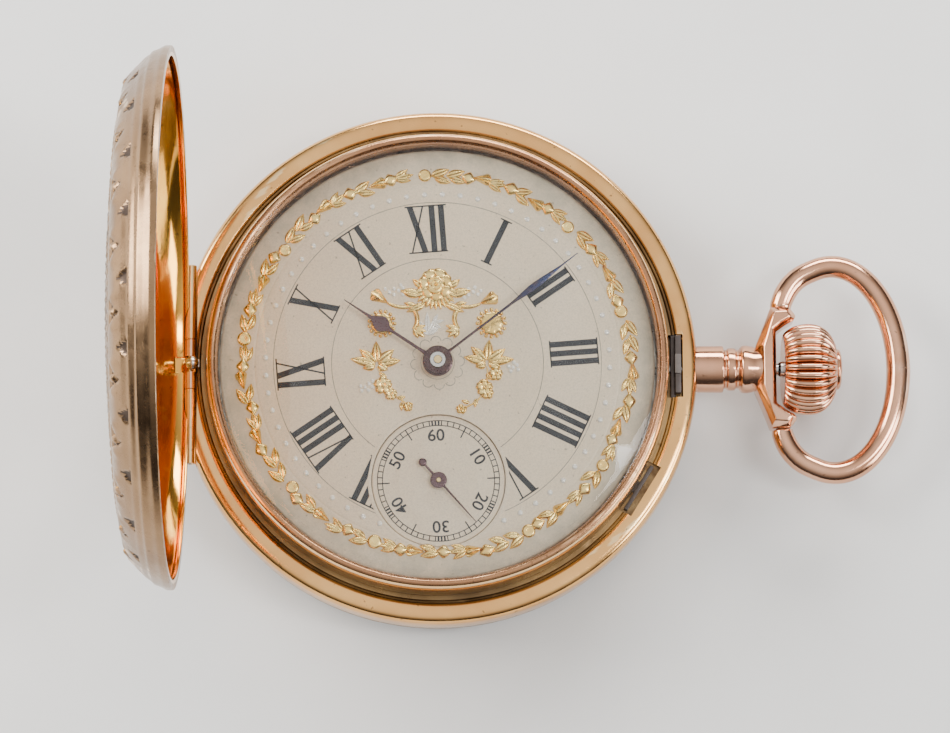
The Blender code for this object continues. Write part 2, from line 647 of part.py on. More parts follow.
FOOT = (-17.65, -9.0)
bridge("balance_cock",
       strip([(BALANCE[0] + 1.6, BALANCE[1] + 0.85), BALANCE,
              (-14.5, -7.6), FOOT], 3.0), [FOOT], 1.15,
       [(*BALANCE, 0.2)], 2.65, 3.4)
bridge("pallet_cock",
       strip([(-7.7, -6.9), PALLET, (-9.2, -12.2)], 1.5),
       [(-9.1, -11.9)], 0.7, [(*PALLET, 0.16)], 4.7, 5.05)

# ---- barrel, arbor and mainspring ----------------------------------------
barrel = turned("mainspring_barrel", [
    (8.3, 5.75), (8.3, 4.45), (7.9, 4.45), (7.9, 5.25), (1.0, 5.25),
    (1.0, 5.75)], GILT, ring=True, steps=24, at=(*BARREL, 0))
fuse(barrel, plate("join_barrel_teeth", [teeth(64, 8.84, 8.45),
                                         circle(8.1, 24)],
                   5.32, 5.66, None, at=(*BARREL, 0), coll=CUTS))
turned("barrel_lid", [(7.84, 4.6), (7.84, 4.47), (1.3, 4.47), (1.3, 4.6)],
       GILT, ring=True, steps=24, at=(*BARREL, 0))
turned("barrel_arbor", [
    (0.0, 6.5), (0.15, 6.5), (0.15, 5.9), (0.9, 5.85), (0.9, 5.15),
    (1.15, 5.15), (1.15, 4.7), (0.9, 4.65), (0.9, 2.75), (0.45, 2.75),
    (0.45, 3.8), (0.0, 3.8)], STEEL, steps=14, at=(*BARREL, 0))


def spiral(r0, r1, turns, per_turn, width):
    """Closed outline of a coiled strip."""
    inner, outer = [], []
    n = int(turns * per_turn)
    for i in range(n + 1):
        a = 2 * math.pi * i / per_turn
        r = r0 + (r1 - r0) * i / n
        inner.append(((r - width / 2) * math.cos(a),
                      (r - width / 2) * math.sin(a)))
        outer.append(((r + width / 2) * math.cos(a),
                      (r + width / 2) * math.sin(a)))
    return outer + inner[::-1]


plate("mainspring", [spiral(1.6, 7.5, 4, 12, 0.25)], 4.68, 5.18, STEEL,
      at=(*BARREL, 0))

# ---- keyless winding work ------------------------------------------------
plate("ratchet_wheel", [teeth(36, 6.53, 6.1), circle(0.96, 10)],
      2.65, 2.97, STEEL, at=(*BARREL, 0))
turned("ratchet_screw", [(0.0, 3.6), (0.38, 3.6), (0.38, 2.62),
                         (1.4, 2.62), (1.3, 2.42), (0.0, 2.42)], STEEL,
       steps=14, at=(*BARREL, 0))
wheel = plate("crown_wheel", [teeth(18, 3.28, 2.85), circle(0.55, 8)],
              2.65, 2.97, STEEL, at=(*CROWN_WHEEL, 0))
fuse(wheel, turned("join_crown_wheel_hub", [
    (2.2, 3.88), (2.2, 2.8), (0.55, 2.8), (0.55, 3.88)], None, ring=True,
    steps=16, at=(*CROWN_WHEEL, 0), coll=CUTS))
turned("crown_wheel_screw", [(0.0, 3.7), (0.48, 3.7), (0.48, 2.62),
                             (1.2, 2.62), (1.1, 2.42), (0.0, 2.42)], STEEL,
       steps=12, at=(*CROWN_WHEEL, 0))
away = math.atan2(BARREL[1] - CLICK[1], BARREL[0] - CLICK[0])
plate("click", [[(0.75 * math.cos(math.radians(a)),
                  0.75 * math.sin(math.radians(a)))
                 for a in range(40, 321, 28)]
                + [(1.6, -0.4), (2.2, -0.1), (2.2, 0.1), (1.6, 0.3)],
                circle(0.42, 8)], 2.65, 2.95, STEEL, at=(*CLICK, 0),
      turn=math.degrees(away))


# ---- going train ---------------------------------------------------------
def train_wheel(name, spot, arbor, wheel_teeth, wz, leaves=None, lz=None,
                rim=None, spokes=4):
    """Arbor with its wheel and pinion.  wheel_teeth and leaves are
    (count, tip, root); the wheel is crossed out inside rim."""
    made = turned(name, arbor, GILT, steps=10, at=(*spot, 0))
    n, tip, root = wheel_teeth
    loops = [teeth(n, tip, root)]
    if rim:
        outer, inner = rim
        for k in range(spokes):
            a0 = 2 * math.pi * k / spokes + 0.35 / outer
            a1 = 2 * math.pi * (k + 1) / spokes - 0.35 / outer
            b0 = 2 * math.pi * k / spokes + 0.35 / inner
            b1 = 2 * math.pi * (k + 1) / spokes - 0.35 / inner
            window = [(outer * math.cos(a0 + (a1 - a0) * i / 3),
                       outer * math.sin(a0 + (a1 - a0) * i / 3))
                      for i in range(4)]
            window += [(inner * math.cos(b1 + (b0 - b1) * i),
                        inner * math.sin(b1 + (b0 - b1) * i))
                       for i in range(2)]
            loops.append(window)
    fuse(made, plate(f"join_{name}_teeth", loops, *wz, None,
                     at=(*spot, 0), coll=CUTS))
    if leaves:
        n, tip, root = leaves
        fuse(made, plate(f"join_{name}_leaves", [teeth(n, tip, root)], *lz,
                         None, at=(*spot, 0), coll=CUTS))
    return made


train_wheel("center_wheel", CENTRE, [
    (0.0, 11.0), (0.38, 11.0), (0.38, 5.85), (0.6, 5.85), (0.6, 3.9),
    (0.3, 3.86), (0.3, 3.2), (0.0, 3.2)],
    (48, 6.44, 6.04), (4.0, 4.2), (8, 1.14, 0.72), (5.2, 5.84),
    rim=(5.4, 1.4))
train_wheel("third_wheel", THIRD, [
    (0.0, 6.4), (0.15, 6.4), (0.15, 5.9), (0.32, 5.85), (0.32, 3.9),
    (0.16, 3.86), (0.16, 3.2), (0.0, 3.2)],
    (45, 5.29, 4.9), (5.2, 5.4), (6, 0.84, 0.5), (3.9, 4.36),
    rim=(4.3, 1.1))
train_wheel("fourth_wheel", FOURTH, [
    (0.0, 9.5), (0.2, 9.5), (0.2, 5.9), (0.32, 5.85), (0.32, 3.9),
    (0.16, 3.86), (0.16, 3.2), (0.0, 3.2)],
    (60, 4.84, 4.5), (4.5, 4.7), (6, 0.74, 0.42), (5.05, 5.55),
    rim=(3.9, 1.1))
train_wheel("escape_wheel", ESCAPE, [
    (0.0, 6.4), (0.15, 6.4), (0.15, 5.9), (0.26, 5.85), (0.26, 3.9),
    (0.16, 3.86), (0.16, 3.2), (0.0, 3.2)],
    (15, 3.4, 2.6), (5.5, 5.65), (6, 0.52, 0.27), (4.4, 4.8),
    rim=(2.2, 0.8), spokes=3)

STONES = [(ESCAPE[0] + 3.8 * math.cos(math.radians(a)),
           ESCAPE[1] + 3.8 * math.sin(math.radians(a))) for a in (118, 182)]
fork = turned("pallet_fork", [
    (0.0, 6.4), (0.14, 6.4), (0.14, 5.9), (0.28, 5.85), (0.28, 5.12),
    (0.12, 5.08), (0.12, 4.8), (0.0, 4.8)], STEEL, steps=10,
    at=(*PALLET, 0))
toward = math.atan2(BALANCE[1] - PALLET[1], BALANCE[0] - PALLET[0])
rel = [(x - PALLET[0], y - PALLET[1]) for x, y in STONES]
fuse(fork,
     plate("join_fork_anchor", [strip([rel[0], (0, 0), rel[1]], 0.55)],
           5.28, 5.45, None, at=(*PALLET, 0), coll=CUTS),
     plate("join_fork_lever",
           [strip([(-0.2 * math.cos(toward), -0.2 * math.sin(toward)),
                   (2.75 * math.cos(toward), 2.75 * math.sin(toward))],
                  0.4)], 5.27, 5.46, None, at=(*PALLET, 0), coll=CUTS))

# ---- balance, hairspring and regulator -----------------------------------
balance = turned("balance_wheel", [
    (0.0, 6.4), (0.14, 6.4), (0.14, 5.9), (0.3, 5.85), (0.3, 5.5),
    (0.8, 5.5), (0.8, 5.25), (0.3, 5.25), (0.3, 3.46), (0.14, 3.44),
    (0.14, 2.8), (0.0, 2.8)], GILT, steps=14, at=(*BALANCE, 0))
GAP = [[(4.95 * math.cos(a), 4.95 * math.sin(a) * side)
        for a in [math.radians(7 + i * 20.75) for i in range(9)]]
       for side in (1, -1)]
fuse(balance, plate("join_balance_rim", [circle(5.7, 28)] + GAP, 4.0, 4.5,
                    None, at=(*BALANCE, 0), coll=CUTS))
plate("hairspring", [spiral(0.65, 2.7, 3, 14, 0.09)], 3.62, 3.8, BLUED,
      at=(*BALANCE, 0))
foot_dir = math.degrees(math.atan2(FOOT[1] - BALANCE[1],
                                   FOOT[0] - BALANCE[0]))
plate("regulator", [[(1.1 * math.cos(math.radians(a)),
                      1.1 * math.sin(math.radians(a)))
                     for a in range(20, 341, 32)]
                    + [(3.6, -0.12), (3.6, 0.12)],
                    circle(0.55, 12)], 2.45, 2.6, STEEL,
      at=(*BALANCE, 0), turn=foot_dir)
turned("balance_jewel", [(0.0, 2.6), (0.45, 2.6), (0.4, 2.48),
                         (0.0, 2.46)], RUBY, steps=12, at=(*BALANCE, 0))
bpy.context.view_layer.update()
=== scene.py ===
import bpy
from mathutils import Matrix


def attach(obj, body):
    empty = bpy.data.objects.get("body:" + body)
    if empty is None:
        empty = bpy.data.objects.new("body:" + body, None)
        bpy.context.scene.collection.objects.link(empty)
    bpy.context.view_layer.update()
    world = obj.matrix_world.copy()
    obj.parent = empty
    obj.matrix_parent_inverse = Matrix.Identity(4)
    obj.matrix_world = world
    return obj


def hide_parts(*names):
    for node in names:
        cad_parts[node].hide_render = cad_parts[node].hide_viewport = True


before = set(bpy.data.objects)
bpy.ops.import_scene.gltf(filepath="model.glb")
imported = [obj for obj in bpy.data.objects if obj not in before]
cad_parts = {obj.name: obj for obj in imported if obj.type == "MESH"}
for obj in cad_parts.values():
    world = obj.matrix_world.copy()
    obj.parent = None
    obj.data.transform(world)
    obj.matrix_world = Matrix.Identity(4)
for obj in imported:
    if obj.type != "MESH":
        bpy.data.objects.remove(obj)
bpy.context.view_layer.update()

import bmesh
import bpy
import math
import random
from mathutils import Matrix, Vector

# Looks of the hunter pocket watch.  Lengths in millimetres unless noted; the
# case axis is Z, the pendant points along +X.
K = 0.001
R = random.Random(7)
AX = 5.5                                  # height of pendant, stem and bow
HINGE = Vector((-24.0, 0.0, 7.9))
OPEN = Matrix.Translation(HINGE * K) @ Matrix.Rotation(math.radians(-91), 4, 'Y') \
    @ Matrix.Translation(-HINGE * K)
DIAL_TURN = math.radians(4.4)             # print on the dial sits a little round
SUB = (0.08, -11.555)
HIDDEN = []


# ------------------------------------------------------------ materials ----
class Nodes:
    """Small helper around a material's node tree."""

    def __init__(self, name):
        self.mat = bpy.data.materials.new(name)
        self.mat.use_nodes = True
        self.t = self.mat.node_tree
        self.t.nodes.clear()
        self.out = self.t.nodes.new("ShaderNodeOutputMaterial")

    def n(self, kind, **kw):
        node = self.t.nodes.new("ShaderNode" + kind)
        for k, v in kw.items():
            setattr(node, k, v)
        return node

    def link(self, a, b):
        self.t.links.new(a, b)

    def coord(self):
        return self.n("TexCoord").outputs["Object"]

    def noise(self, scale, detail=4.0, rough=0.55, vec=None, dist=0.0):
        node = self.n("TexNoise")
        node.inputs["Scale"].default_value = scale
        node.inputs["Detail"].default_value = detail
        node.inputs["Roughness"].default_value = rough
        node.inputs["Distortion"].default_value = dist
        self.link(vec if vec is not None else self.coord(), node.inputs["Vector"])
        return node.outputs["Fac"]

    def ramp(self, fac, stops):
        node = self.n("ValToRGB")
        els = node.color_ramp.elements
        while len(els) < len(stops):
            els.new(0.5)
        for el, (pos, col) in zip(els, stops):
            el.position = pos
            el.color = (*col, 1.0) if len(col) == 3 else col
        self.link(fac, node.inputs["Fac"])
        return node.outputs["Color"]

    def map(self, fac, a, b, c, d):
        node = self.n("MapRange")
        for i, v in enumerate((a, b, c, d)):
            node.inputs[i + 1].default_value = v
        self.link(fac, node.inputs[0])
        return node.outputs[0]

    def mix(self, fac, a, b, kind='MIX'):
        node = self.n("Mix", data_type='RGBA', blend_type=kind)
        for sock, v in ((node.inputs[0], fac), (node.inputs[6], a), (node.inputs[7], b)):
            if hasattr(v, "links"):
                self.link(v, sock)
            elif isinstance(v, tuple):
                sock.default_value = (*v, 1.0)
            else:
                sock.default_value = v
        return node.outputs[2]

    def math(self, op, a, b=0.0):
        node = self.n("Math", operation=op)
        for sock, v in ((node.inputs[0], a), (node.inputs[1], b)):
            if hasattr(v, "links"):
                self.link(v, sock)
            else:
                sock.default_value = v
        return node.outputs[0]

    def bump(self, height, strength=0.3, dist=0.00005, normal=None):
        node = self.n("Bump")
        node.inputs["Strength"].default_value = strength
        node.inputs["Distance"].default_value = dist
        self.link(height, node.inputs["Height"])
        if normal is not None:
            self.link(normal, node.inputs["Normal"])
        return node.outputs["Normal"]

    def radius(self):
        """Distance from the object's own Z axis."""
        sep = self.n("SeparateXYZ")
        self.link(self.coord(), sep.inputs[0])
        x2 = self.math('MULTIPLY', sep.outputs[0], sep.outputs[0])
        y2 = self.math('MULTIPLY', sep.outputs[1], sep.outputs[1])
        return self.math('SQRT', self.math('ADD', x2, y2)), sep

    def finish(self, base, rough, metal=1.0, normal=None, **extra):
        p = self.n("BsdfPrincipled")
        for sock, v in ((p.inputs["Base Color"], base), (p.inputs["Roughness"], rough),
                        (p.inputs["Metallic"], metal)):
            if hasattr(v, "links"):
                self.link(v, sock)
            elif isinstance(v, tuple):
                sock.default_value = (*v, 1.0)
            else:
                sock.default_value = v
        for k, v in extra.items():
            p.inputs[k.replace("_", " ")].default_value = v
        if normal is not None:
            self.link(normal, p.inputs["Normal"])
        self.link(p.outputs[0], self.out.inputs[0])
        return self.mat


def gold(name, light, deep, wear_and_highlight, rough=0.2, tarnish=0.35, scratch=0.25, dark=(0.10, 0.055, 0.03)):
    """Polished gold: soft colour drift, fine scratches from hand wear, edges lightened
    partly by wear and partly as painted highlight, and patchy darker brown in the hollows."""
    s = Nodes(name)
    drift = s.noise(160, 3)
    base = s.mix(s.map(drift, 0.35, 0.65, 0, 1), light, deep)
    geo = s.n("NewGeometry")
    # convex edges lightened: partly wear, partly painted highlight
    edge = s.map(geo.outputs["Pointiness"], 0.52, 0.60, 0, 0.75)
    base = s.mix(edge, base, wear_and_highlight)
    # hollows darkened towards the dark colour, in patches
    hollow = s.map(geo.outputs["Pointiness"], 0.485, 0.43, 0, 1)
    hollow_patches = s.map(s.noise(700, 6, 0.7), 0.42, 0.62, 0, 1)
    base = s.mix(s.math('MULTIPLY', s.math('MULTIPLY', hollow, s.map(hollow_patches, 0, 1, 0.4, 1)), 0.9),
                 base, dark)
    speck = s.map(s.noise(1500, 2, 0.5), 0.69, 0.74, 0, 1)
    base = s.mix(s.math('MULTIPLY', speck, tarnish), base, dark)
    smudge = s.noise(420, 5, 0.65)
    r = s.map(smudge, 0.3, 0.7, rough * 0.75, rough * 1.45)
    m = s.n("Mapping")
    m.inputs["Scale"].default_value = (3600, 700, 1500)
    m.inputs["Rotation"].default_value = (0.3, 0.5, 0.7)
    s.link(s.coord(), m.inputs[0])
    hair = s.map(s.noise(1.0, 3, 0.6, m.outputs[0]), 0.62, 0.74, 0, 1)
    r = s.math('ADD', r, s.math('MULTIPLY', hair, scratch * 0.22))
    nrm = s.bump(smudge, 0.10, 0.00006)
    nrm = s.bump(hair, 0.06 * scratch * 3, 0.000006, nrm)
    return s.finish(base, r, 1.0, nrm)


ROSE = gold("rose_gold", (0.74, 0.41, 0.26), (0.62, 0.31, 0.18), (0.92, 0.62, 0.45), 0.13)
CASE = gold("case_gold", (0.82, 0.46, 0.17), (0.70, 0.36, 0.12), (0.94, 0.68, 0.36), 0.15, 0.6, 0.3)
COPPER = gold("bezel_gold", (0.46, 0.24, 0.12), (0.33, 0.16, 0.085), (0.75, 0.46, 0.25), 0.24, 0.6, 0.35)
# bright gold painted on the bezel's top edge as a highlight
BEZEL_HIGHLIGHT = gold("bezel_edge_highlight", (0.93, 0.62, 0.32), (0.86, 0.50, 0.22), (0.98, 0.80, 0.55), 0.12, 0.3, 0.2)
YELLOW = gold("inner_gold", (0.86, 0.44, 0.08), (0.78, 0.34, 0.045), (0.95, 0.66, 0.24), 0.11, 0.5, 0.35)
# outside of the lids: dark gold, painted shade; the insides take the brighter YELLOW
COVER = gold("cover_gold", (0.35, 0.215, 0.115), (0.25, 0.15, 0.08), (0.80, 0.58, 0.38), 0.24, 0.6, 0.4)
# near-black gold painted as shade in the front lid's sunk cuts and on the lift spring's strip
RECESS_SHADE = gold("recess_painted_shade", (0.085, 0.06, 0.045), (0.05, 0.035, 0.028), (0.5, 0.36, 0.24), 0.40, 0.6, 0.3)
# darker gold painted as shade in the groove between band and bezel
GROOVE_SHADE = gold("groove_painted_shade", (0.40, 0.27, 0.13), (0.22, 0.145, 0.075), (0.55, 0.38, 0.2), 0.30, 0.5, 0.3)


def steel(name, colour, rough=0.25, grain=1.0):
    s = Nodes(name)
    m = s.n("Mapping")
    m.inputs["Scale"].default_value = (400, 5200, 5200)
    s.link(s.coord(), m.inputs[0])
    g = s.noise(1.0, 4, 0.6, m.outputs[0])
    base = s.mix(s.map(s.noise(900, 4), 0.4, 0.7, 0, 0.4), colour, tuple(c * 0.6 for c in colour))
    return s.finish(base, s.map(g, 0.3, 0.7, rough * 0.7, rough * 1.4), 1.0,
                    s.bump(g, 0.15 * grain, 0.00001))


STEEL = steel("polished_steel", (0.62, 0.61, 0.60), 0.22)
DARK_STEEL = steel("aged_steel", (0.10, 0.085, 0.08), 0.38)
# lighter steel for the top of the catch button, a painted highlight
CATCH_TOP_HIGHLIGHT = steel("catch_top_highlight_steel", (0.17, 0.15, 0.14), 0.5)
BLUED = steel("blued_steel", (0.045, 0.045, 0.085), 0.30, 0.5)
PURPLE = steel("purpled_steel", (0.13, 0.08, 0.09), 0.28, 0.5)


def tempered(name):
    """Steel hand, brown-purple near the hub and blue towards its tip."""
    s = Nodes(name)
    rad, sep = s.radius()
    col = s.ramp(s.map(rad, 0, 17 * K, 0, 1), [(0.0, (0.075, 0.042, 0.042)), (0.3, (0.09, 0.06, 0.075)),
                                              (0.6, (0.045, 0.045, 0.085)), (0.85, (0.04, 0.06, 0.15))])
    col = s.mix(s.map(s.noise(1500, 4), 0.45, 0.75, 0, 0.6), col, (0.16, 0.11, 0.09))
    return s.finish(col, s.map(s.noise(900, 4), 0.3, 0.7, 0.2, 0.36), 1.0,
                    s.bump(s.noise(4000, 3), 0.15, 0.00001))


TEMPERED = tempered("tempered_steel")


def plate_metal(name, light, dark, stripes=0.0, rough=0.3):
    """Grained plate, with broad polishing stripes where stripes > 0."""
    s = Nodes(name)
    sep = s.n("SeparateXYZ")
    s.link(s.coord(), sep.inputs[0])
    fine = s.noise(3500, 3, 0.6)
    base = s.mix(s.map(s.noise(260, 4), 0.35, 0.7, 0, 1), light, dark)
    rr = s.map(fine, 0.3, 0.7, rough * 0.8, rough * 1.3)
    nrm = s.bump(fine, 0.2, 0.00001)
    if stripes:
        w = s.math('SINE', s.math('MULTIPLY', s.math('ADD', sep.outputs[0],
                   s.math('MULTIPLY', sep.outputs[1], 0.6)), 2 * math.pi / 0.0022))
        base = s.mix(s.map(w, -1, 1, 0, stripes), base, tuple(c * 0.72 for c in light))
        nrm = s.bump(w, 0.25, 0.00012, nrm)
    return s.finish(base, rr, 1.0, nrm)


NICKEL = plate_metal("striped_nickel", (0.74, 0.72, 0.66), (0.62, 0.58, 0.50), 0.6)
GILT = plate_metal("gilt_brass", (0.86, 0.66, 0.33), (0.74, 0.52, 0.24), 0.0, 0.28)


def ornament(name, light, dark, rough, metal=1.0):
    s = Nodes(name)
    geo = s.n("NewGeometry")
    hollow = s.map(geo.outputs["Pointiness"], 0.5, 0.40, 0, 0.8)
    base = s.mix(s.map(s.noise(900, 3), 0.35, 0.65, 0, 1), light, dark)
    base = s.mix(hollow, base, tuple(c * 0.35 for c in dark))
    cut = s.noise(4200, 3, 0.6)
    return s.finish(base, s.map(cut, 0.3, 0.7, rough * 0.7, rough * 1.3), metal,
                    s.bump(cut, 0.45, 0.00003))


GOLD_LEAF = ornament("applied_gold", (0.98, 0.74, 0.28), (0.88, 0.58, 0.17), 0.24)
SILVER_LEAF = ornament("applied_silver", (0.98, 0.97, 0.93), (0.92, 0.90, 0.85), 0.30, 0.25)


def dial_metal(name, light, dark, ring_scale, edge=None):
    """Silvered dial: very fine turning marks, warm painted shade towards the edge
    in patches, small spots."""
    s = Nodes(name)
    rad, sep = s.radius()
    rings = s.n("CombineXYZ")
    s.link(s.math('MULTIPLY', rad, ring_scale), rings.inputs[0])
    marks = s.noise(1.0, 5, 0.75, rings.outputs[0])
    grain = s.noise(5200, 2, 0.6)
    cloud = s.noise(110, 4, 0.6)
    base = s.mix(s.map(cloud, 0.32, 0.68, 0, 1), light, dark)
    base = s.mix(s.map(marks, 0.35, 0.7, 0, 0.35), base, tuple(c * 0.80 for c in dark))
    base = s.mix(s.map(grain, 0.4, 0.7, 0, 0.42), base, tuple(c * 0.66 for c in dark))
    if edge:
        # warm darkening towards the edge: painted shade of the bezel, broken into patches
        edge_shade = s.math('MULTIPLY', s.map(rad, edge[0] * K, edge[1] * K, 0, 1),
                        s.map(s.noise(330, 6, 0.7), 0.3, 0.62, 0.15, 1))
        base = s.mix(s.math('MULTIPLY', edge_shade, 0.75), base, (0.42, 0.40, 0.31))
    spots = s.map(s.noise(2300, 2, 0.4), 0.72, 0.76, 0, 0.5)
    base = s.mix(spots, base, (0.22, 0.17, 0.11))
    nrm = s.bump(marks, 0.45, 0.00003)
    nrm = s.bump(grain, 0.45, 0.00003, nrm)
    return s.finish(base, s.map(cloud, 0.3, 0.7, 0.42, 0.56), 0.12, nrm)


DIAL = dial_metal("silvered_dial", (0.98, 0.84, 0.655), (0.92, 0.775, 0.59), 9000, (17.2, 20.8))
SUBDIAL = dial_metal("silvered_seconds", (0.96, 0.83, 0.66), (0.90, 0.77, 0.60), 12000)


def ink(name, colour):
    s = Nodes(name)
    base = s.mix(s.map(s.noise(1500, 4), 0.4, 0.7, 0, 1), colour, tuple(c * 1.9 for c in colour))
    return s.finish(base, 0.42, 0.0, s.bump(s.noise(4000, 2), 0.2, 0.00001))


INK = ink("numeral_enamel", (0.012, 0.015, 0.022))
FINE_INK = ink("engraved_line", (0.27, 0.235, 0.185))


def glass():
    """Clear crystal: light passes straight, reflections follow Fresnel."""
    s = Nodes("clear_crystal")
    clear = s.n("BsdfTransparent")
    clear.inputs[0].default_value = (0.992, 0.992, 0.982, 1)
    shine = s.n("BsdfGlossy")
    shine.inputs["Roughness"].default_value = 0.015
    s.link(s.bump(s.noise(900, 3), 0.02, 0.00002), shine.inputs["Normal"])
    fres = s.n("Fresnel")
    fres.inputs["IOR"].default_value = 1.5
    haze = s.map(s.noise(300, 5, 0.6), 0.5, 0.8, -0.012, 0.01)
    mix = s.n("MixShader")
    s.link(s.math('ADD', s.math('MULTIPLY', fres.outputs[0], 0.75), haze), mix.inputs[0])
    s.link(clear.outputs[0], mix.inputs[1])
    s.link(shine.outputs[0], mix.inputs[2])
    s.link(mix.outputs[0], s.out.inputs[0])
    return s.mat


GLASS = glass()


def ruby():
    s = Nodes("ruby")
    base = s.mix(s.noise(2500, 3), (0.60, 0.04, 0.14), (0.35, 0.01, 0.06))
    return s.finish(base, 0.08, 0.0, None, Transmission_Weight=0.35, Coat_Weight=0.6)


RUBY = ruby()


# ------------------------------------------------------------- geometry ----
def link(obj, *mats):
    bpy.context.scene.collection.objects.link(obj)
    for m in mats:
        obj.data.materials.append(m)
    return obj


def mesh_object(name, verts, faces, mat, angle=35.0, recalc=False):
    mesh = bpy.data.meshes.new(name)
    mesh.from_pydata(verts, [], faces)
    bm = bmesh.new()
    bm.from_mesh(mesh)
    bmesh.ops.remove_doubles(bm, verts=bm.verts, dist=2e-7)
    bmesh.ops.dissolve_degenerate(bm, edges=bm.edges, dist=1e-7)
    if recalc:
        bmesh.ops.recalc_face_normals(bm, faces=bm.faces)
    bm.to_mesh(mesh)
    bm.free()
    mesh.shade_smooth()
    mesh.set_sharp_from_angle(angle=math.radians(angle))
    return link(bpy.data.objects.new(name, mesh), *( [mat] if mat else []))


def soften(points, radii, closed=False, n=4):
    """Polyline with its corners rounded.  radii is one value or one each."""
    count = len(points)
    if not isinstance(radii, (list, tuple)):
        radii = [radii] * count
    out = []
    for i, (p, r) in enumerate(zip(points, radii)):
        if r <= 0 or (not closed and i in (0, count - 1)):
            out.append(tuple(p))
            continue
        v = Vector(p)
        a, b = Vector(points[i - 1]), Vector(points[(i + 1) % count])
        da, db = a - v, b - v
        ta = min(r, da.length * 0.45)
        tb = min(r, db.length * 0.45)
        p0, p2 = v + da.normalized() * ta, v + db.normalized() * tb
        for k in range(n + 1):
            t = k / n
            q = p0 * (1 - t) ** 2 + v * 2 * t * (1 - t) + p2 * t * t
            out.append(tuple(q))
    return out


def dense(profile, step):
    """Adds points to long straight stretches."""
    out = [profile[0]]
    for a, b in zip(profile, profile[1:]):
        n = max(1, int(math.hypot(b[0] - a[0], b[1] - a[1]) / step))
        for k in range(1, n + 1):
            out.append((a[0] + (b[0] - a[0]) * k / n, a[1] + (b[1] - a[1]) * k / n))
    return out


def revolve(name, profile, mat, steps=192, ring=True, shape=None, angle=35.0,
            place=None, axis='Z'):
    """Turned piece from (radius, height) points running down the outer side.
    shape(i, r, h, a) may return a changed (r, h)."""
    verts, faces = [], []
    n = len(profile)
    rows = []
    for i, (r, h) in enumerate(profile):
        if r < 1e-6:
            rows.append([len(verts)] * steps)
            verts.append((0.0, 0.0, h))
            continue
        row = []
        for k in range(steps):
            a = 2 * math.pi * k / steps
            rr, hh = shape(i, r, h, a) if shape else (r, h)
            row.append(len(verts))
            verts.append((rr * math.cos(a), rr * math.sin(a), hh))
        rows.append(row)
    last = n if ring else n - 1
    for i in range(last):
        lo, hi = rows[i], rows[(i + 1) % n]
        for k in range(steps):
            m = (k + 1) % steps
            quad = [lo[k], hi[k], hi[m], lo[m]]
            face = [v for j, v in enumerate(quad) if v not in quad[:j]]
            if len(face) > 2:
                faces.append(face)
    turn = {'Z': Matrix.Identity(4),
            'X': Matrix.Rotation(math.pi / 2, 4, 'Y'),
            'Y': Matrix.Rotation(-math.pi / 2, 4, 'X')}[axis]
    shift = Matrix.Translation(Vector(place) * K) if place is not None else Matrix.Identity(4)
    full = shift @ turn
    verts = [tuple(full @ (Vector(v) * K)) for v in verts]
    return mesh_object(name, verts, faces, mat, angle)


def box(name, lo, hi, mat=None, bevel=0.0, turn=0.0, seg=3):
    bm = bmesh.new()
    mid = [(a + b) / 2 for a, b in zip(lo, hi)]
    size = [b - a for a, b in zip(lo, hi)]
    bmesh.ops.create_cube(bm, size=1.0)
    bmesh.ops.transform(bm, matrix=Matrix.Rotation(math.radians(turn), 4, 'Z')
                        @ Matrix.Translation(Vector(mid) * K)
                        @ Matrix.Diagonal((*(s * K for s in size), 1.0)), verts=bm.verts)
    if bevel:
        bmesh.ops.bevel(bm, geom=bm.edges[:], offset=bevel * K, segments=seg, profile=0.6,
                        affect='EDGES')
    mesh = bpy.data.meshes.new(name)
    bm.to_mesh(mesh)
    bm.free()
    mesh.shade_smooth()
    mesh.set_sharp_from_angle(angle=math.radians(40))
    return link(bpy.data.objects.new(name, mesh), *([mat] if mat else []))


def rod(name, r, a, b, mat=None, steps=48, chamfer=0.0):
    """Cylinder between two points in millimetres."""
    a, b = Vector(a), Vector(b)
    length = (b - a).length
    c = min(chamfer, r * 0.4, length * 0.3)
    prof = [(0.0, length), (r - c, length), (r, length - c), (r, c), (r - c, 0.0), (0.0, 0.0)] if c \
        else [(0.0, length), (r, length), (r, 0.0), (0.0, 0.0)]
    obj = revolve(name, prof, mat, steps, ring=False)
    quat = Vector((0, 0, 1)).rotation_difference((b - a).normalized())
    obj.data.transform(Matrix.Translation(a * K) @ quat.to_matrix().to_4x4())
    return obj


def boolean(obj, cutters, op='DIFFERENCE', angle=35.0):
    """Cuts or joins now, so that only a clean mesh is left."""
    for c in cutters:
        mod = obj.modifiers.new("b", 'BOOLEAN')
        mod.operation = op
        mod.solver = 'EXACT'
        mod.object = c
    bpy.context.view_layer.update()
    deps = bpy.context.evaluated_depsgraph_get()
    mesh = bpy.data.meshes.new_from_object(obj.evaluated_get(deps))
    mats = [m for m in obj.data.materials]
    obj.modifiers.clear()
    old = obj.data
    obj.data = mesh
    bpy.data.meshes.remove(old)
    for c in cutters:
        bpy.data.objects.remove(c, do_unlink=True)
    mesh.materials.clear()
    for m in mats:
        mesh.materials.append(m)
    bm = bmesh.new()
    bm.from_mesh(mesh)
    for f in bm.faces:
        f.material_index = 0
    bmesh.ops.remove_doubles(bm, verts=bm.verts, dist=3e-7)
    bmesh.ops.dissolve_degenerate(bm, edges=bm.edges, dist=3e-7)
    bm.to_mesh(mesh)
    bm.free()
    mesh.shade_smooth()
    mesh.set_sharp_from_angle(angle=math.radians(angle))
    return obj


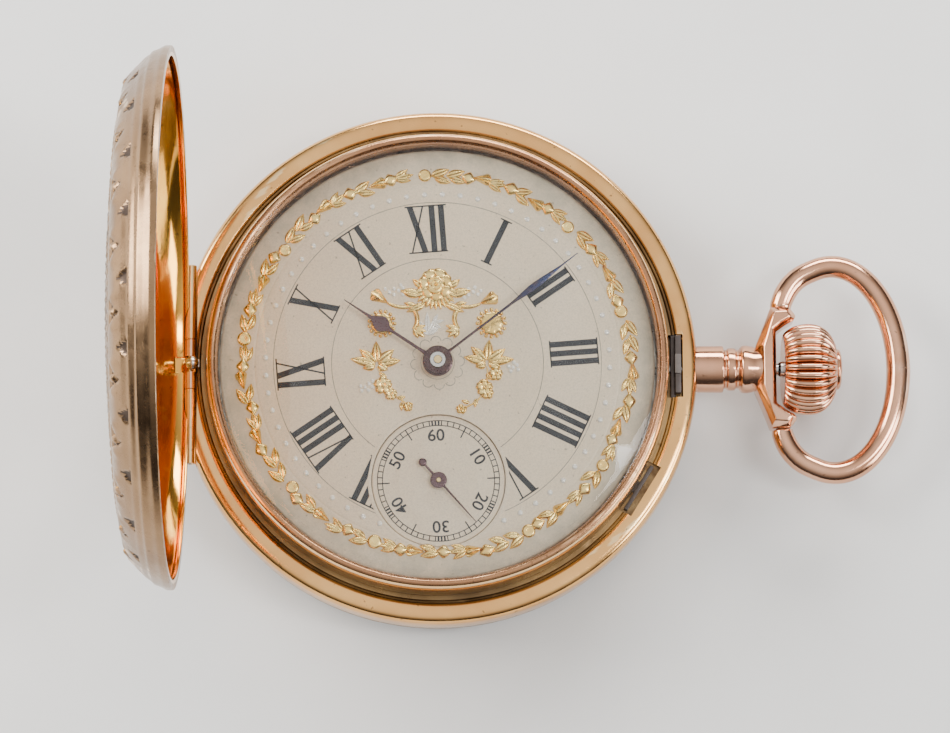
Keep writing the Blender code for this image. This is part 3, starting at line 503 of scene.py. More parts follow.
def extrude(name, loops, z0, z1, mat, chamfer=0.0, at=(0, 0), turn=0.0, res=2):
    """Flat outline with holes, as a closed solid with softened edges."""
    curve = bpy.data.curves.new(name + "_c", 'CURVE')
    curve.dimensions = '2D'
    curve.fill_mode = 'BOTH'
    curve.extrude = max((z1 - z0) / 2 - chamfer, 1e-4) * K
    curve.bevel_depth = chamfer * K
    curve.bevel_resolution = res if chamfer else 0
    curve.offset = -chamfer * K
    for loop in loops:
        sp = curve.splines.new('POLY')
        sp.points.add(len(loop) - 1)
        for p, (x, y) in zip(sp.points, loop):
            p.co = (x * K, y * K, 0, 1)
        sp.use_cyclic_u = True
    tmp = bpy.data.objects.new(name + "_c", curve)
    bpy.context.scene.collection.objects.link(tmp)
    bpy.context.view_layer.update()
    mesh = bpy.data.meshes.new_from_object(
        tmp.evaluated_get(bpy.context.evaluated_depsgraph_get()))
    bpy.data.objects.remove(tmp, do_unlink=True)
    mesh.name = name
    mesh.transform(Matrix.Translation(Vector((at[0], at[1], (z0 + z1) / 2)) * K)
                   @ Matrix.Rotation(turn, 4, 'Z'))
    bm = bmesh.new()
    bm.from_mesh(mesh)
    bmesh.ops.remove_doubles(bm, verts=bm.verts, dist=2e-7)
    bm.to_mesh(mesh)
    bm.free()
    mesh.materials.clear()
    mesh.shade_smooth()
    mesh.set_sharp_from_angle(angle=math.radians(35))
    return link(bpy.data.objects.new(name, mesh), mat)


def ring_pts(r, n, cx=0.0, cy=0.0, ph=0.0):
    return [(cx + r * math.cos(ph + 2 * math.pi * i / n),
             cy + r * math.sin(ph + 2 * math.pi * i / n)) for i in range(n)]


def put(obj, body, *nodes, slot=None):
    """Body and replaced CAD nodes of a new piece; slot is not used."""
    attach(obj, body)
    if nodes:
        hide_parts(*nodes)
    return obj


# ----------------------------------------------------------- middle case ---
Z_RIM = 8.0
band = revolve("case_middle", soften(
    [(24.35, 8.0), (24.85, 7.93), (25.12, 7.72), (25.3, 7.35), (25.38, 6.6), (25.4, 5.5),
     (25.3, 4.0), (25.12, 3.2),
     (22.6, 3.2), (22.6, 5.3), (21.2, 5.3), (21.2, 5.9), (22.1, 5.9), (22.1, 7.4),
     (23.02, 7.4), (23.12, 7.62), (23.32, 7.66), (23.36, 7.86), (23.62, 7.96)],
    [0.4, 0.3, 0.2, 0.2, 0.4, 0.9, 0.5, 0.12, 0.08, 0.08, 0.06, 0.06, 0.06, 0.06, 0.05, 0.04, 0.04, 0.06, 0.2],
    closed=True), CASE, 256)
LEVER = -31.75
boolean(band, [
    box("c1", (-27, -9.9, 6.5), (-23.35, 9.9, 8.5)),
    box("c2", (-27, -8.5, 3.0), (-23.35, 8.5, 4.9)),
    rod("c3", 2.29, (25.03, 0, AX), (27, 0, AX)),
    rod("c4", 0.9, (20.8, 0, AX), (26, 0, AX)),
    box("c5", (22.25, -3.15, 6.3), (23.9, 3.05, 8.5), bevel=0.1),
    box("c6", (22.2, -7.2, 6.25), (23.25, 7.2, 7.38)),
    box("c7", (-23.5, -4.1, 6.25), (-22.2, 4.1, 7.38)),
    box("c8", (22.05, -2.8, 7.17), (23.75, 2.8, 8.5), turn=LEVER)])
band.data.materials.append(GROOVE_SHADE)
# band's inner ledge and wall: darker gold as painted shade
for poly in band.data.polygons:
    c = poly.center / K
    if math.hypot(c.x, c.y) < 23.42 and 3.3 < c.z < 7.9:
        poly.material_index = 1
put(band, "case", "case_band", slot="rose_gold")

bezel = revolve("bezel_ring", soften(
    [(21.87, 11.5), (22.2, 11.36), (22.42, 10.7), (22.5, 9.2), (22.55, 8.3), (22.55, 7.45),
     (21.3, 7.45), (21.3, 10.72), (21.57, 10.74), (21.57, 11.22), (21.5, 11.28), (21.62, 11.44)],
    [0.12, 0.2, 0.5, 0.5, 0.2, 0.06, 0.06, 0.05, 0.04, 0.04, 0.03, 0.06], closed=True),
    COPPER, 256)
bezel.data.materials.append(BEZEL_HIGHLIGHT)
bezel.data.materials.append(GROOVE_SHADE)
for poly in bezel.data.polygons:
    c = poly.center / K
    r_ = math.hypot(c.x, c.y)
    # top edge: bright gold as a painted highlight
    if r_ > 22.12 and c.z > 10.2:
        poly.material_index = 1
    # bezel's low outer wall: darker gold as painted shade
    elif r_ > 22.3 and c.z < 9.6:
        poly.material_index = 2
put(bezel, "case", "bezel", slot="rose_gold")


def dome(r_edge, z_edge, z_top, n, r0=0.0):
    """Points of a shallow spherical cap from the middle out."""
    sag = z_top - z_edge
    big = (r_edge ** 2 + sag ** 2) / (2 * sag)
    out = []
    for i in range(n + 1):
        r = r0 + (r_edge - r0) * i / n
        out.append((r, z_top - big + math.sqrt(big * big - r * r)))
    return out


top = dome(20.9, 11.32, 13.0, 34)
low = dome(20.6, 10.82, 12.42, 30)[::-1]
crystal = revolve("watch_crystal", top + soften(
    [(20.9, 11.32), (21.3, 11.16), (21.52, 11.14), (21.52, 10.78), (20.6, 10.78), (20.6, 10.82)],
    [0, 0.1, 0.05, 0.05, 0.02, 0])[1:-1] + low, GLASS, 192, ring=False)
put(crystal, "case", "crystal", slot="crystal_glass")

# ----------------------------------------------------------- front cover ---
OUT = [(0.0, 13.80), (6.0, 13.76), (12.0, 13.46), (16.5, 13.0), (18.6, 12.74), (20.1, 12.52),
       (20.45, 12.42), (20.75, 12.44), (21.6, 12.2), (22.4, 11.85), (23.1, 11.22), (23.6, 10.68),
       (23.9, 10.42), (24.22, 9.92), (24.5, 9.7), (24.72, 9.05), (25.0, 8.6), (25.0, 8.03)]
OUT_R = [0, 3, 3, 2, 1.0, 0.2, 0.2, 0.3, 0.6, 0.5, 0.2, 0.2, 0.5, 0.2, 0.15, 0.2, 0.15, 0.08]
IN = [(24.05, 8.03), (24.05, 8.35), (24.3, 8.6), (24.12, 9.2), (23.75, 9.85), (22.35, 11.45),
      (20.6, 12.0), (18.0, 12.45), (10.0, 13.18), (0.0, 13.42)]
IN_R = [0.08, 0.1, 0.15, 0.4, 0.7, 0.9, 1.2, 3, 5, 0]
raw = dense(soften(OUT + IN, OUT_R + IN_R, n=5), 0.22)


def petal(r, a, cx, half_r, half_a, count, phase=0.0):
    """Height of one of `count` rounded bosses centred at radius cx."""
    p = 2 * math.pi / count
    d = ((a - phase + p / 2) % p) - p / 2
    q = ((r - cx) / half_r) ** 2 + (d * r / half_a) ** 2
    return max(0.0, 1 - q)


def relief(r, a):
    """Chased border and medallion of the covers, in millimetres of height."""
    h = 0.0
    if 18.4 < r < 20.2:                                    # paired bead row
        n = 60
        p = 2 * math.pi / n
        pair = 0.055
        d = abs(((a + p / 2) % p) - p / 2) - pair / 2
        q = ((r - 19.2) / 0.62) ** 2 + (d * r / 0.42) ** 2
        h += 0.26 * math.sqrt(max(0.0, 1 - q))
    if 12.6 < r < 17.7:                                    # scallops and leaves
        n = 20
        p = 2 * math.pi / n
        d = abs(((a + p / 2) % p) - p / 2) / (p / 2)       # 0 mid, 1 edge
        arch = 17.2 - 2.3 * d ** 2
        h += 0.19 * math.exp(-((r - arch) / 0.24) ** 2)
        h += 0.13 * math.exp(-((r - arch + 0.85) / 0.16) ** 2) * (1 - d * 0.6)
        h += 0.22 * math.sqrt(petal(r, a, 14.7, 1.45, 0.70, n))
        h += 0.16 * math.sqrt(petal(r, a, 13.7, 0.85, 0.55, n, p / 2))
        h -= 0.08 * (1 - min(1, abs(r - 14.6) / 1.6)) * (0.5 + 0.5 * math.cos(a * n * 4))
    if 11.3 < r < 12.7:                                    # rope ring
        h += 0.12 * math.exp(-((r - 12.0) / 0.36) ** 2) * (1 + 0.5 * math.sin(a * 90 + (r - 12.0) * 7))
    if 5.2 < r < 11.2:                                     # turned waves
        w = math.sin(a * 48 + 2.2 * math.sin(r * 2.1))
        h += 0.045 * w * min(1, (r - 5.2) / 0.8, (11.2 - r) / 0.6)
        h += 0.10 * math.sqrt(petal(r, a, 8.4, 2.3, 0.9, 12))
    if r < 5.2:                                            # blank shield disc
        h += 0.10 * math.exp(-((r - 4.8) / 0.22) ** 2)
    return h


def off_motif(r, a, half=False):
    """Distance along the border from the nearest of its 24 motifs, in radians."""
    p = 2 * math.pi / 24
    return ((a - 0.094 + (0 if half else p / 2)) % p) - p / 2


def pearl_of(r, a):
    return ((r - 22.12) / 0.44) ** 2 + (off_motif(r, a) * 22.1 / 0.44) ** 2


def sunk(r, a):
    """True in the sunk cuts of the border, which are painted dark as shade: a wide one
    round each pearl and a narrow wedge between two pearls, nearer the rim."""
    if 21.35 < r < 22.85 and abs(off_motif(r, a)) * 22.1 < 1.15 * (22.85 - r) / 1.5:
        return True
    return 22.7 < r < 23.7 and abs(off_motif(r, a, True)) * 23.2 < 0.75 * (r - 22.7)


def border(r, a):
    h = -0.2 if sunk(r, a) else 0.0
    if 20.9 < r < 23.2:                                    # leaf shoulders beside the cuts
        d = abs(off_motif(r, a)) * 22.1 - 1.35
        h += 0.12 * math.exp(-(d / 0.4) ** 2 - ((r - 22.0) / 0.6) ** 2)
    return h + 0.46 * math.sqrt(max(0.0, 1 - pearl_of(r, a)))


def cover_shape(count_outer):
    def f(i, r, h, a):
        if i < count_outer and r < 20.15:
            return r, h - 0.16 + relief(r, a) * 0.95
        if i < count_outer and r < 23.75:
            return r, h + border(r, a)
        return r, h
    return f


outer_n = next(i for i, (r, h) in enumerate(raw) if r > 24.9)
flat = [(r, h) for r, h in raw]
cover = revolve("front_lid", flat, COVER, 720, ring=False, shape=cover_shape(outer_n), angle=50)
boolean(cover, [
    rod("c1", 0.62, (-24, -9.95, 7.9), (-24, 9.95, 7.9)),
    box("c2", (-24.47, -0.8, 7.5), (-22.5, 0.8, 9.5), bevel=0.15)], angle=50)
cover.data.materials.append(YELLOW)
cover.data.materials.append(GROOVE_SHADE)
cover.data.materials.append(RECESS_SHADE)
for poly in cover.data.polygons:          # inside of the shell gets the brighter gold; the darker outside gold is painted shade
    c = poly.center / K
    rr = math.hypot(c.x, c.y)
    if (rr < 24.4 and poly.normal.z < -0.02) or (rr < 24.45 and
            (c.x * poly.normal.x + c.y * poly.normal.y) < 0):
        poly.material_index = 1
    if abs(c.y) < 0.81 and -24.48 < c.x < -23.3 and c.z < 9.51 and (
            abs(poly.normal.y) > 0.5 or rr > 24.3):
        poly.material_index = 1
    ang = math.atan2(c.y, c.x)
    if poly.normal.z > 0 and sunk(rr, ang) and pearl_of(rr, ang) > 1:
        poly.material_index = 3                   # painted shade in the border's cuts
cover.data.transform(OPEN)
put(cover, "cover", "front_cover", slot="rose_gold")


def tube_y(name, x, z, y0, y1, mat, r=0.55, bore=0.29, c=0.05):
    return revolve(name, [(r - c, y1), (r, y1 - c), (r, y0 + c), (r - c, y0), (bore + c, y0),
                          (bore, y0 + c), (bore, y1 - c), (bore + c, y1)], mat, 48,
                   place=(x, 0, z), axis='Y')


mid = tube_y("lid_knuckle", -24, 7.9, -2.43, 2.43, ROSE)
win = box("c1", (-0.05, -0.78, -1.0), (1.2, 0.78, 1.0))
win.data.transform(Matrix.Rotation(math.radians(-29.5), 4, 'Y'))
win.data.transform(Matrix.Translation(HINGE * K))
boolean(mid, [win])
mid.data.transform(OPEN)
put(mid, "cover", "cover_knuckle", slot="rose_gold")
put(tube_y("hinge_knuckle_upper", -24, 7.9, 2.47, 9.8, CASE), "case", "case_knuckle_upper",
    slot="rose_gold")
put(tube_y("hinge_knuckle_lower", -24, 7.9, -9.8, -2.47, CASE), "case", "case_knuckle_lower",
    slot="rose_gold")
put(rod("hinge_pin", 0.22, (-24, -9.85, 7.9), (-24, 9.85, 7.9), STEEL, 32, 0.05), "case",
    "front_hinge_pin", slot="steel")

# ------------------------------------------------ lift spring and catch ----
tip = revolve("lift_tip", [(0.65 * math.sin(math.pi * i / 28), 0.65 * math.cos(math.pi * i / 28))
                           for i in range(29)], STEEL, 48, ring=False, place=(-23.8, 0, 8.83))
boolean(tip, [box("c1", (-23.3, -3.9, 6.35), (-22.75, 3.9, 7.3), bevel=0.06),
              box("c2", (-23.32, -0.42, 6.6), (-23.06, 0.42, 8.6), bevel=0.09)], 'UNION')
tip.data.materials.append(RECESS_SHADE)
# strip and block beside the ball take the near-black gold: painted shade in the groove
for poly in tip.data.polygons:
    c = poly.center / K
    if (c - Vector((-23.8, 0, 8.83))).length > 0.67:
        poly.material_index = 1
put(tip, "case", "lift_spring", slot="steel")
lock = box("catch_spring", (22.75, -7.0, 6.35), (23.2, 7.0, 7.3), DARK_STEEL, bevel=0.07)
boolean(lock, [box("c1", (23.1, -2.85, 6.45), (23.7, 2.85, 8.55), bevel=0.09),
               box("c2", (23.05, -0.95, 7.6), (23.7, 0.95, 8.75), bevel=0.10)], 'UNION')
lock.data.materials.append(CATCH_TOP_HIGHLIGHT)
# top of the catch button: lighter steel as a painted highlight
for poly in lock.data.polygons:
    if poly.center.z > 8.56 * K and abs(poly.center.y) < 1.0 * K:
        poly.material_index = 1
put(lock, "catch", "lock_spring", slot="steel")
lever = box("lever_tab", (22.75, -2.5, 7.24), (23.15, 2.5, 7.9), DARK_STEEL, bevel=0.07, turn=LEVER)
boolean(lever, [box("c1", (17.5, -0.6, 7.25), (22.9, 0.6, 7.41), bevel=0.04, turn=LEVER)], 'UNION')
put(lever, "lever", "setting_lever", slot="steel")

# -------------------------------------------------- back and dust cover ----
B_IN = [(0.0, 0.5), (13.2, 0.5), (18.0, 0.68), (20.5, 0.92), (22.6, 1.4), (24.0, 2.0),
        (24.58, 2.7), (24.6, 3.12)]
B_OUT = [(25.2, 3.12), (25.2, 2.75), (24.98, 2.5), (24.92, 2.1), (24.3, 1.35), (22.9, 0.88),
         (20.5, 0.42), (19.7, 0.30), (19.5, 0.42), (18.6, 0.30), (18.4, 0.14), (13.5, 0.0),
         (0.0, 0.0)]
b_raw = dense(soften(B_IN + B_OUT, [0, 4, 2, 1, .6, .5, .2, .05, .08, .1, .1, .2, .5, .8, 1, .2,
                                    .12, .2, .12, 2, 0], n=4), 0.24)
b_cut = next(i for i, (r, h) in enumerate(b_raw) if r > 25.1)


def back_shape(i, r, h, a):
    if i > b_cut and r < 18.3:
        wave = math.sin(a * 60 + 1.9 * math.sin(r * 2.4)) if r > 5.6 else 0.0
        band_ = 0.0
        if 13.6 < r < 18.2:
            band_ = relief(r * 0.985, a)
        lift_ = band_ * 0.42 + (0.03 * wave if 5.6 < r < 12.8 else 0.0)
        if 4.7 < r < 5.4:
            lift_ = 0.06 * math.exp(-((r - 5.05) / 0.2) ** 2)
        return r, h + 0.13 - max(-0.05, min(0.11, lift_))
    return r, h


back = revolve("back_lid", b_raw, COVER, 720, ring=False, shape=back_shape, angle=50)
boolean(back, [rod("c1", 0.62, (-24, -7.75, 3.15), (-24, 7.75, 3.15))], angle=50)
back.data.materials.append(YELLOW)
# inside of the back gets the brighter gold; the darker outside gold is painted shade
for poly in back.data.polygons:
    c = poly.center / K
    if math.hypot(c.x, c.y) < 24.62 and poly.normal.z > 0.02:
        poly.material_index = 1
put(back, "back", "back_cover", slot="rose_gold")
dust = revolve("dust_lid", dense(soften(
    [(0.0, 1.85), (12.0, 1.92), (20.0, 2.3), (22.0, 2.8), (22.38, 3.12), (23.0, 3.12),
     (22.95, 2.85), (22.7, 2.5), (20.0, 1.95), (12.0, 1.57), (0.0, 1.5)],
    [0, 3, 1, 0.5, 0.08, 0.08, 0.1, 0.4, 1.5, 3, 0], n=4), 0.8), YELLOW, 192, ring=False)
put(dust, "dust_cover", "cuvette", slot="yellow_gold")
put(tube_y("dust_knuckle", -24, 3.15, -1.4, 1.4, YELLOW), "dust_cover", "cuvette_knuckle",
    slot="yellow_gold")
put(tube_y("back_lid_knuckle_upper", -24, 3.15, 1.44, 4.2, ROSE), "back", "back_knuckle_upper",
    slot="rose_gold")
put(tube_y("back_lid_knuckle_lower", -24, 3.15, -4.2, -1.44, ROSE), "back",
    "back_knuckle_lower", slot="rose_gold")
put(tube_y("rear_case_knuckle_upper", -24, 3.15, 4.24, 7.5, CASE), "case",
    "band_back_knuckle_upper", slot="rose_gold")
put(tube_y("rear_case_knuckle_lower", -24, 3.15, -7.5, -4.24, CASE), "case",
    "band_back_knuckle_lower", slot="rose_gold")
put(rod("rear_hinge_pin", 0.22, (-24, -7.55, 3.15), (-24, 7.55, 3.15), STEEL, 32, 0.05),
    "case", "back_hinge_pin", slot="steel")

# ------------------------------------------- pendant, yoke, crown, bow -----
neck = revolve("pendant_neck", soften(
    [(2.1, 32.2), (2.15, 31.2), (2.28, 30.7), (2.36, 30.2), (2.30, 29.75), (2.0, 29.55),
     (1.86, 29.42), (1.9, 29.25), (2.06, 29.12), (2.1, 28.75), (2.06, 28.4), (1.9, 28.28),
     (1.88, 28.14), (2.0, 28.02), (2.27, 27.95), (2.3, 27.8), (2.28, 25.5), (2.215, 25.1),
     (1.2, 25.1), (1.2, 32.2)],
    [.05, .3, .3, .3, .25, .12, .08, .08, .1, .25, .1, .08, .06, .06, .06, .06, .2, .03, .05, .05],
    closed=True, n=4), ROSE, 96, place=(0, 0, AX), axis='X', angle=40)


def yoke_mesh():
    """Saddle with two ears: a plan outline with wide facets above and below."""
    outer = [(31.1, 2.1), (31.55, 3.2), (32.1, 4.6), (32.6, 5.93), (34.5, 5.93), (35.1, 5.1),
             (34.9, 4.68), (34.0, 4.15), (33.12, 3.5)]
    inset = [(31.9, 1.9), (32.25, 3.1), (32.6, 4.3), (32.95, 5.35), (34.1, 5.45), (34.5, 5.0),
             (34.35, 4.78), (33.6, 4.35), (32.75, 3.7)]
    loop = [(x, -y) for x, y in outer] + [(x, y) for x, y in reversed(outer)]
    small = [(x, -y) for x, y in inset] + [(x, y) for x, y in reversed(inset)]
    levels = [(small, AX - 2.25), (loop, AX - 1.35), (loop, AX + 1.35), (small, AX + 2.25)]
    verts, faces = [], []
    n = len(loop)
    for ring_, z in levels:
        verts += [(x * K, y * K, z * K) for x, y in ring_]
    for i in range(3):
        for k in range(n):
            m = (k + 1) % n
            faces.append([i * n + k, i * n + m, (i + 1) * n + m, (i + 1) * n + k])
    faces.append([k for k in range(n)][::-1])
    faces.append([3 * n + k for k in range(n)])
    obj = mesh_object("c_yoke", verts, faces, None, 30, recalc=True)
    bm = bmesh.new()
    bm.from_mesh(obj.data)
    edges = [e for e in bm.edges if len(e.link_faces) == 2 and e.calc_face_angle(0) > 0.2]
    bmesh.ops.bevel(bm, geom=edges, offset=0.17 * K, segments=3, profile=0.5, affect='EDGES',
                    clamp_overlap=True)
    bm.to_mesh(obj.data)
    bm.free()
    return obj


boolean(neck, [yoke_mesh()], 'UNION', 32)
boolean(neck, [rod("c1", 1.2, (31.0, 0, AX), (36, 0, AX)),
               rod("c2", 0.62, (33.7, 4.4, AX), (33.7, 7, AX)),
               rod("c3", 0.62, (33.7, -7, AX), (33.7, -4.4, AX))], angle=32)
put(neck, "case", "pendant", slot="rose_gold")

C_OUT = [(0.0, 39.05), (2.15, 39.05), (2.5, 39.0), (3.3, 38.62), (4.0, 38.0), (4.36, 37.3),
         (4.48, 36.5), (4.42, 35.6), (4.2, 34.85), (3.85, 34.25), (3.5, 33.9), (3.2, 33.85)]
C_IN = [(0.86, 33.85), (0.86, 38.4), (0.0, 38.4)]
c_raw = dense(soften(C_OUT + C_IN, [0, .15, .2, .5, .5, .5, .5, .5, .4, .3, .2, .1, .05, .05, 0],
                     n=4), 0.16)


def flutes(i, r, h, a):
    if h < 39.0 and r > 2.05:
        w = abs(math.sin(a * 15.0))                       # 30 rounded ribs
        deep = 0.62 * min(1.0, (39.0 - h) / 0.5, (r - 2.05) / 0.8)
        return r - deep * (1 - w ** 0.55), h
    return r, h


crown = revolve("fluted_crown", c_raw, ROSE, 480, ring=False, shape=flutes, place=(0, 0, AX),
                axis='X', angle=60)
put(crown, "crown_and_stem", "crown", slot="rose_gold")
cap = revolve("crown_button", soften(
    [(0.0, 39.66), (1.0, 39.62), (1.75, 39.5), (2.0, 39.3), (2.0, 39.08), (0.0, 39.08)],
    [0, 0.4, 0.3, 0.1, 0.05, 0]), ROSE, 64, ring=False, place=(0, 0, AX), axis='X')
put(cap, "crown_and_stem", "crown_cap", slot="rose_gold")
stem = revolve("stem_arbor", soften(
    [(0.0, 38.35), (0.8, 38.35), (0.8, 33.6), (0.6, 33.4), (0.6, 10.0), (0.4, 9.9),
     (0.4, 9.3), (0.0, 9.3)], 0.05), STEEL, 48, ring=False, place=(0, 0, AX), axis='X')
put(stem, "crown_and_stem", "winding_stem", slot="steel")


def tube(name, pts, radii, mat, n=40, flat=1.0):
    """Round wire along points in the plane z = AX."""
    verts, faces = [], []
    m = len(pts)
    for i, p in enumerate(pts):
        a = Vector(pts[max(i - 1, 0)])
        b = Vector(pts[min(i + 1, m - 1)])
        d = (b - a).normalized()
        side = Vector((-d.y, d.x, 0))
        for k in range(n):
            t = 2 * math.pi * k / n
            v = Vector(p) + side * (radii[i] * math.cos(t)) + Vector((0, 0, 1)) * (
                radii[i] * flat * math.sin(t))
            verts.append(tuple(v * K))
    for i in range(m - 1):
        for k in range(n):
            q = (k + 1) % n
            faces.append([i * n + k, i * n + q, (i + 1) * n + q, (i + 1) * n + k])
    faces.append(list(range(n)))
    faces.append([(m - 1) * n + k for k in range(n)])
    return mesh_object(name, verts, faces, mat, 45, recalc=True)


half = [(33.7, 4.75), (33.7, 5.6), (33.7, 6.055), (33.7, 6.06), (33.705, 6.12), (33.74, 6.4),
        (33.84, 6.8), (34.0, 7.25), (34.28, 7.85), (34.68, 8.45), (35.2, 9.0), (35.85, 9.5)]
rad = [0.45, 0.45, 0.45, 1.0, 1.04, 1.05, 1.06, 1.08, 1.08, 1.08, 1.08, 1.08]
for i in range(33):
    a = math.radians(112 - i * 3.5)
    half.append((38.8 + 6.4 * math.cos(a), 10.3 * math.sin(a)))
    rad.append(1.08 + 0.10 * (i / 32) ** 2)


def blend_path(pts, passes=3, keep=6):
    pts = [tuple(p) for p in pts]
    for _ in range(passes):
        new = list(pts)
        for i in range(keep, len(pts) - 1):
            new[i] = tuple((pts[i - 1][j] + 2 * pts[i][j] + pts[i + 1][j]) / 4 for j in (0, 1))
        pts = new
    return pts


half = blend_path(half)
path = [(x, y, AX) for x, y in half] + [(45.2, 0.0, AX)] + [(x, -y, AX)
                                                          for x, y in reversed(half)]
bow = tube("bow_loop", path, rad + [1.09] + rad[::-1], ROSE, 48)
put(bow, "bow_ring", "bow", slot="rose_gold")

# ------------------------------------------------------------------ dial ---
DIAL_Z = 9.0


def polar(r, deg, turned=True):
    a = math.radians(deg) + (DIAL_TURN if turned else 0.0)
    return r * math.cos(a), r * math.sin(a)


def dial_shape(i, r, h, a):
    """Returns (r, h) unchanged, so the dial stays flat."""
    return r, h


plate = revolve("dial_plate", soften(
    [(1.3, 9.0), (17.6, 9.0), (17.75, 8.97), (17.9, 9.0), (20.95, 9.0), (21.1, 8.92),
     (21.1, 8.6), (1.3, 8.6)], [.03, .06, .06, .06, .1, .05, .02, .02], closed=True), DIAL, 256)
boolean(plate, [rod("c1", 6.5, (SUB[0], SUB[1], 8.5), (SUB[0], SUB[1], 9.1), steps=160)])
put(plate, "case", "dial", slot="silvered_dial")

# step into the seconds dial: bright chamfer, then a sunk plate with rings
sub_prof = [(0.35, 8.80), (1.0, 8.80)]
for k in range(40):
    r0 = 1.05 + k * 0.072
    if r0 > 3.9:
        break
    sub_prof += [(r0, 8.80), (r0 + 0.036, 8.792)]
sub_prof += [(5.2, 8.80), (6.05, 8.80), (6.12, 8.79), (6.2, 8.80), (6.36, 8.80), (6.42, 8.76),
             (6.42, 8.45), (0.35, 8.45)]
sub = revolve("seconds_plate", sub_prof, SUBDIAL, 192, place=(SUB[0], SUB[1], 0), angle=60)
for v in sub.data.vertices:                      # texture rings centre on its own axis
    v.co.x -= SUB[0] * K
    v.co.y -= SUB[1] * K
sub.location = (SUB[0] * K, SUB[1] * K, 0)
put(sub, "case", "seconds_dial", slot="silvered_dial")
rim = revolve("seconds_chamfer", soften([(6.5, 8.99), (6.62, 9.012), (6.78, 9.018), (6.9, 9.0),
                                         (6.9, 8.97), (6.5, 8.97)], 0.05, closed=True),
              SUBDIAL, 160, place=(SUB[0], SUB[1], 0))
put(rim, "case", slot="silvered_dial")


def slab(name, loops, z, thick, mat, slot=None, body="case"):
    """Thin raised print made of flat closed outlines."""
    verts, faces = [], []
    for loop in loops:
        area = sum(a[0] * b[1] - b[0] * a[1] for a, b in zip(loop, loop[1:] + loop[:1]))
        pts = loop if area > 0 else loop[::-1]
        n = len(pts)
        s = len(verts)
        verts += [(x * K, y * K, z * K) for x, y in pts]
        verts += [(x * K, y * K, (z + thick) * K) for x, y in pts]
        faces.append([s + k for k in range(n)][::-1])
        faces.append([s + n + k for k in range(n)])
        for k in range(n):
            m = (k + 1) % n
            faces.append([s + k, s + m, s + n + m, s + n + k])
    mesh = bpy.data.meshes.new(name)
    mesh.from_pydata(verts, [], faces)
    obj = link(bpy.data.objects.new(name, mesh), mat)
    return put(obj, body, slot=slot)


def quadstrip(a, b, wa, wb=None):
    """Straight stroke from a to b of the given end widths."""
    wb = wa if wb is None else wb
    a, b = Vector(a), Vector(b)
    d = (b - a).normalized()
    s_ = Vector((-d.y, d.x))
    return [tuple(a - s_ * wa / 2), tuple(b - s_ * wb / 2), tuple(b + s_ * wb / 2),
            tuple(a + s_ * wa / 2)]


def clip(poly, inside, cross):
    out = []
    for a, b in zip(poly, poly[1:] + poly[:1]):
        ia, ib = inside(a), inside(b)
        if ia:
            out.append(a)
        if ia != ib:
            out.append(cross(a, b))
    return out


# Roman numerals: thick and thin strokes with hairline serifs, feet inwards.
NUM_IN, NUM_OUT = 11.0, 15.6
H = NUM_OUT - NUM_IN
THICK, THIN = 0.57, 0.15
WIDTHS = {'I': 0.92, 'V': 2.1, 'X': 2.1}
SERIF = 0.13


def glyphs(text):
    """Strokes of the numeral in a frame with x across and y up, centred."""
    pieces, x = [], 0.0
    spans = []
    for c in text:
        spans.append((c, x))
        x += WIDTHS[c]
    total = x
    for c, x0 in spans:
        cx = x0 + WIDTHS[c] / 2 - total / 2
        if c == 'I':
            pieces.append(quadstrip((cx, 0), (cx, H), THICK))
        elif c == 'V':
            pieces.append(quadstrip((cx - 0.62, H), (cx + 0.12, 0), THICK, THICK * 0.9))
            pieces.append(quadstrip((cx + 0.72, H), (cx + 0.16, 0), THIN))
        else:
            pieces.append(quadstrip((cx - 0.62, H), (cx + 0.62, 0), THICK))
            pieces.append(quadstrip((cx + 0.66, H), (cx - 0.66, 0), THIN))
    w = total / 2 - 0.06 if text != 'I' else 0.58
    top = w + (0.12 if text[-1] != 'I' or text[0] != 'I' else 0.02)
    pieces.append([(-top, H - SERIF / 2), (top, H - SERIF / 2), (top, H + SERIF / 2),
                   (-top, H + SERIF / 2)])
    bot_l, bot_r = -w, w
    if text[0] == 'V':
        bot_l = -w + 0.75
    if text[-1] == 'V':
        bot_r = w - 0.75
    if text != 'V':
        pieces.append([(bot_l, -SERIF / 2), (bot_r, -SERIF / 2), (bot_r, SERIF / 2),
                       (bot_l, SERIF / 2)])
    return pieces


def outside_sub(p):
    return math.hypot(p[0] - SUB[0], p[1] - SUB[1]) >= 6.86


def bisect(a, b):
    ia = outside_sub(a)
    lo, hi = 0.0, 1.0
    for _ in range(24):
        m = (lo + hi) / 2
        q = (a[0] + (b[0] - a[0]) * m, a[1] + (b[1] - a[1]) * m)
        if outside_sub(q) == ia:
            lo = m
        else:
            hi = m
    return (a[0] + (b[0] - a[0]) * lo, a[1] + (b[1] - a[1]) * lo)


loops = []
for hour, text in enumerate(["XII", "I", "II", "III", "IIII", "V", None, "VII", "VIII", "IX",
                             "X", "XI"]):
    if text is None:
        continue
    a = math.radians(90 - hour * 30) + DIAL_TURN
    ux, uy = (math.sin(a), -math.cos(a)), (math.cos(a), math.sin(a))
    for piece in glyphs(text):
        pts = []
        for p, q in zip(piece, piece[1:] + piece[:1]):
            steps_ = 14 if text in ("V", "VII") else 1
            for k in range(steps_):
                t = k / steps_
                x, y = p[0] + (q[0] - p[0]) * t, p[1] + (q[1] - p[1]) * t
                pts.append((ux[0] * x + uy[0] * (NUM_IN + y), ux[1] * x + uy[1] * (NUM_IN + y)))
        if text in ("V", "VII"):
            pts = clip(pts, outside_sub, bisect)
        if len(pts) > 2:
            loops.append(pts)
slab("hour_numerals", loops, 9.0, 0.022, INK, "blued_steel")


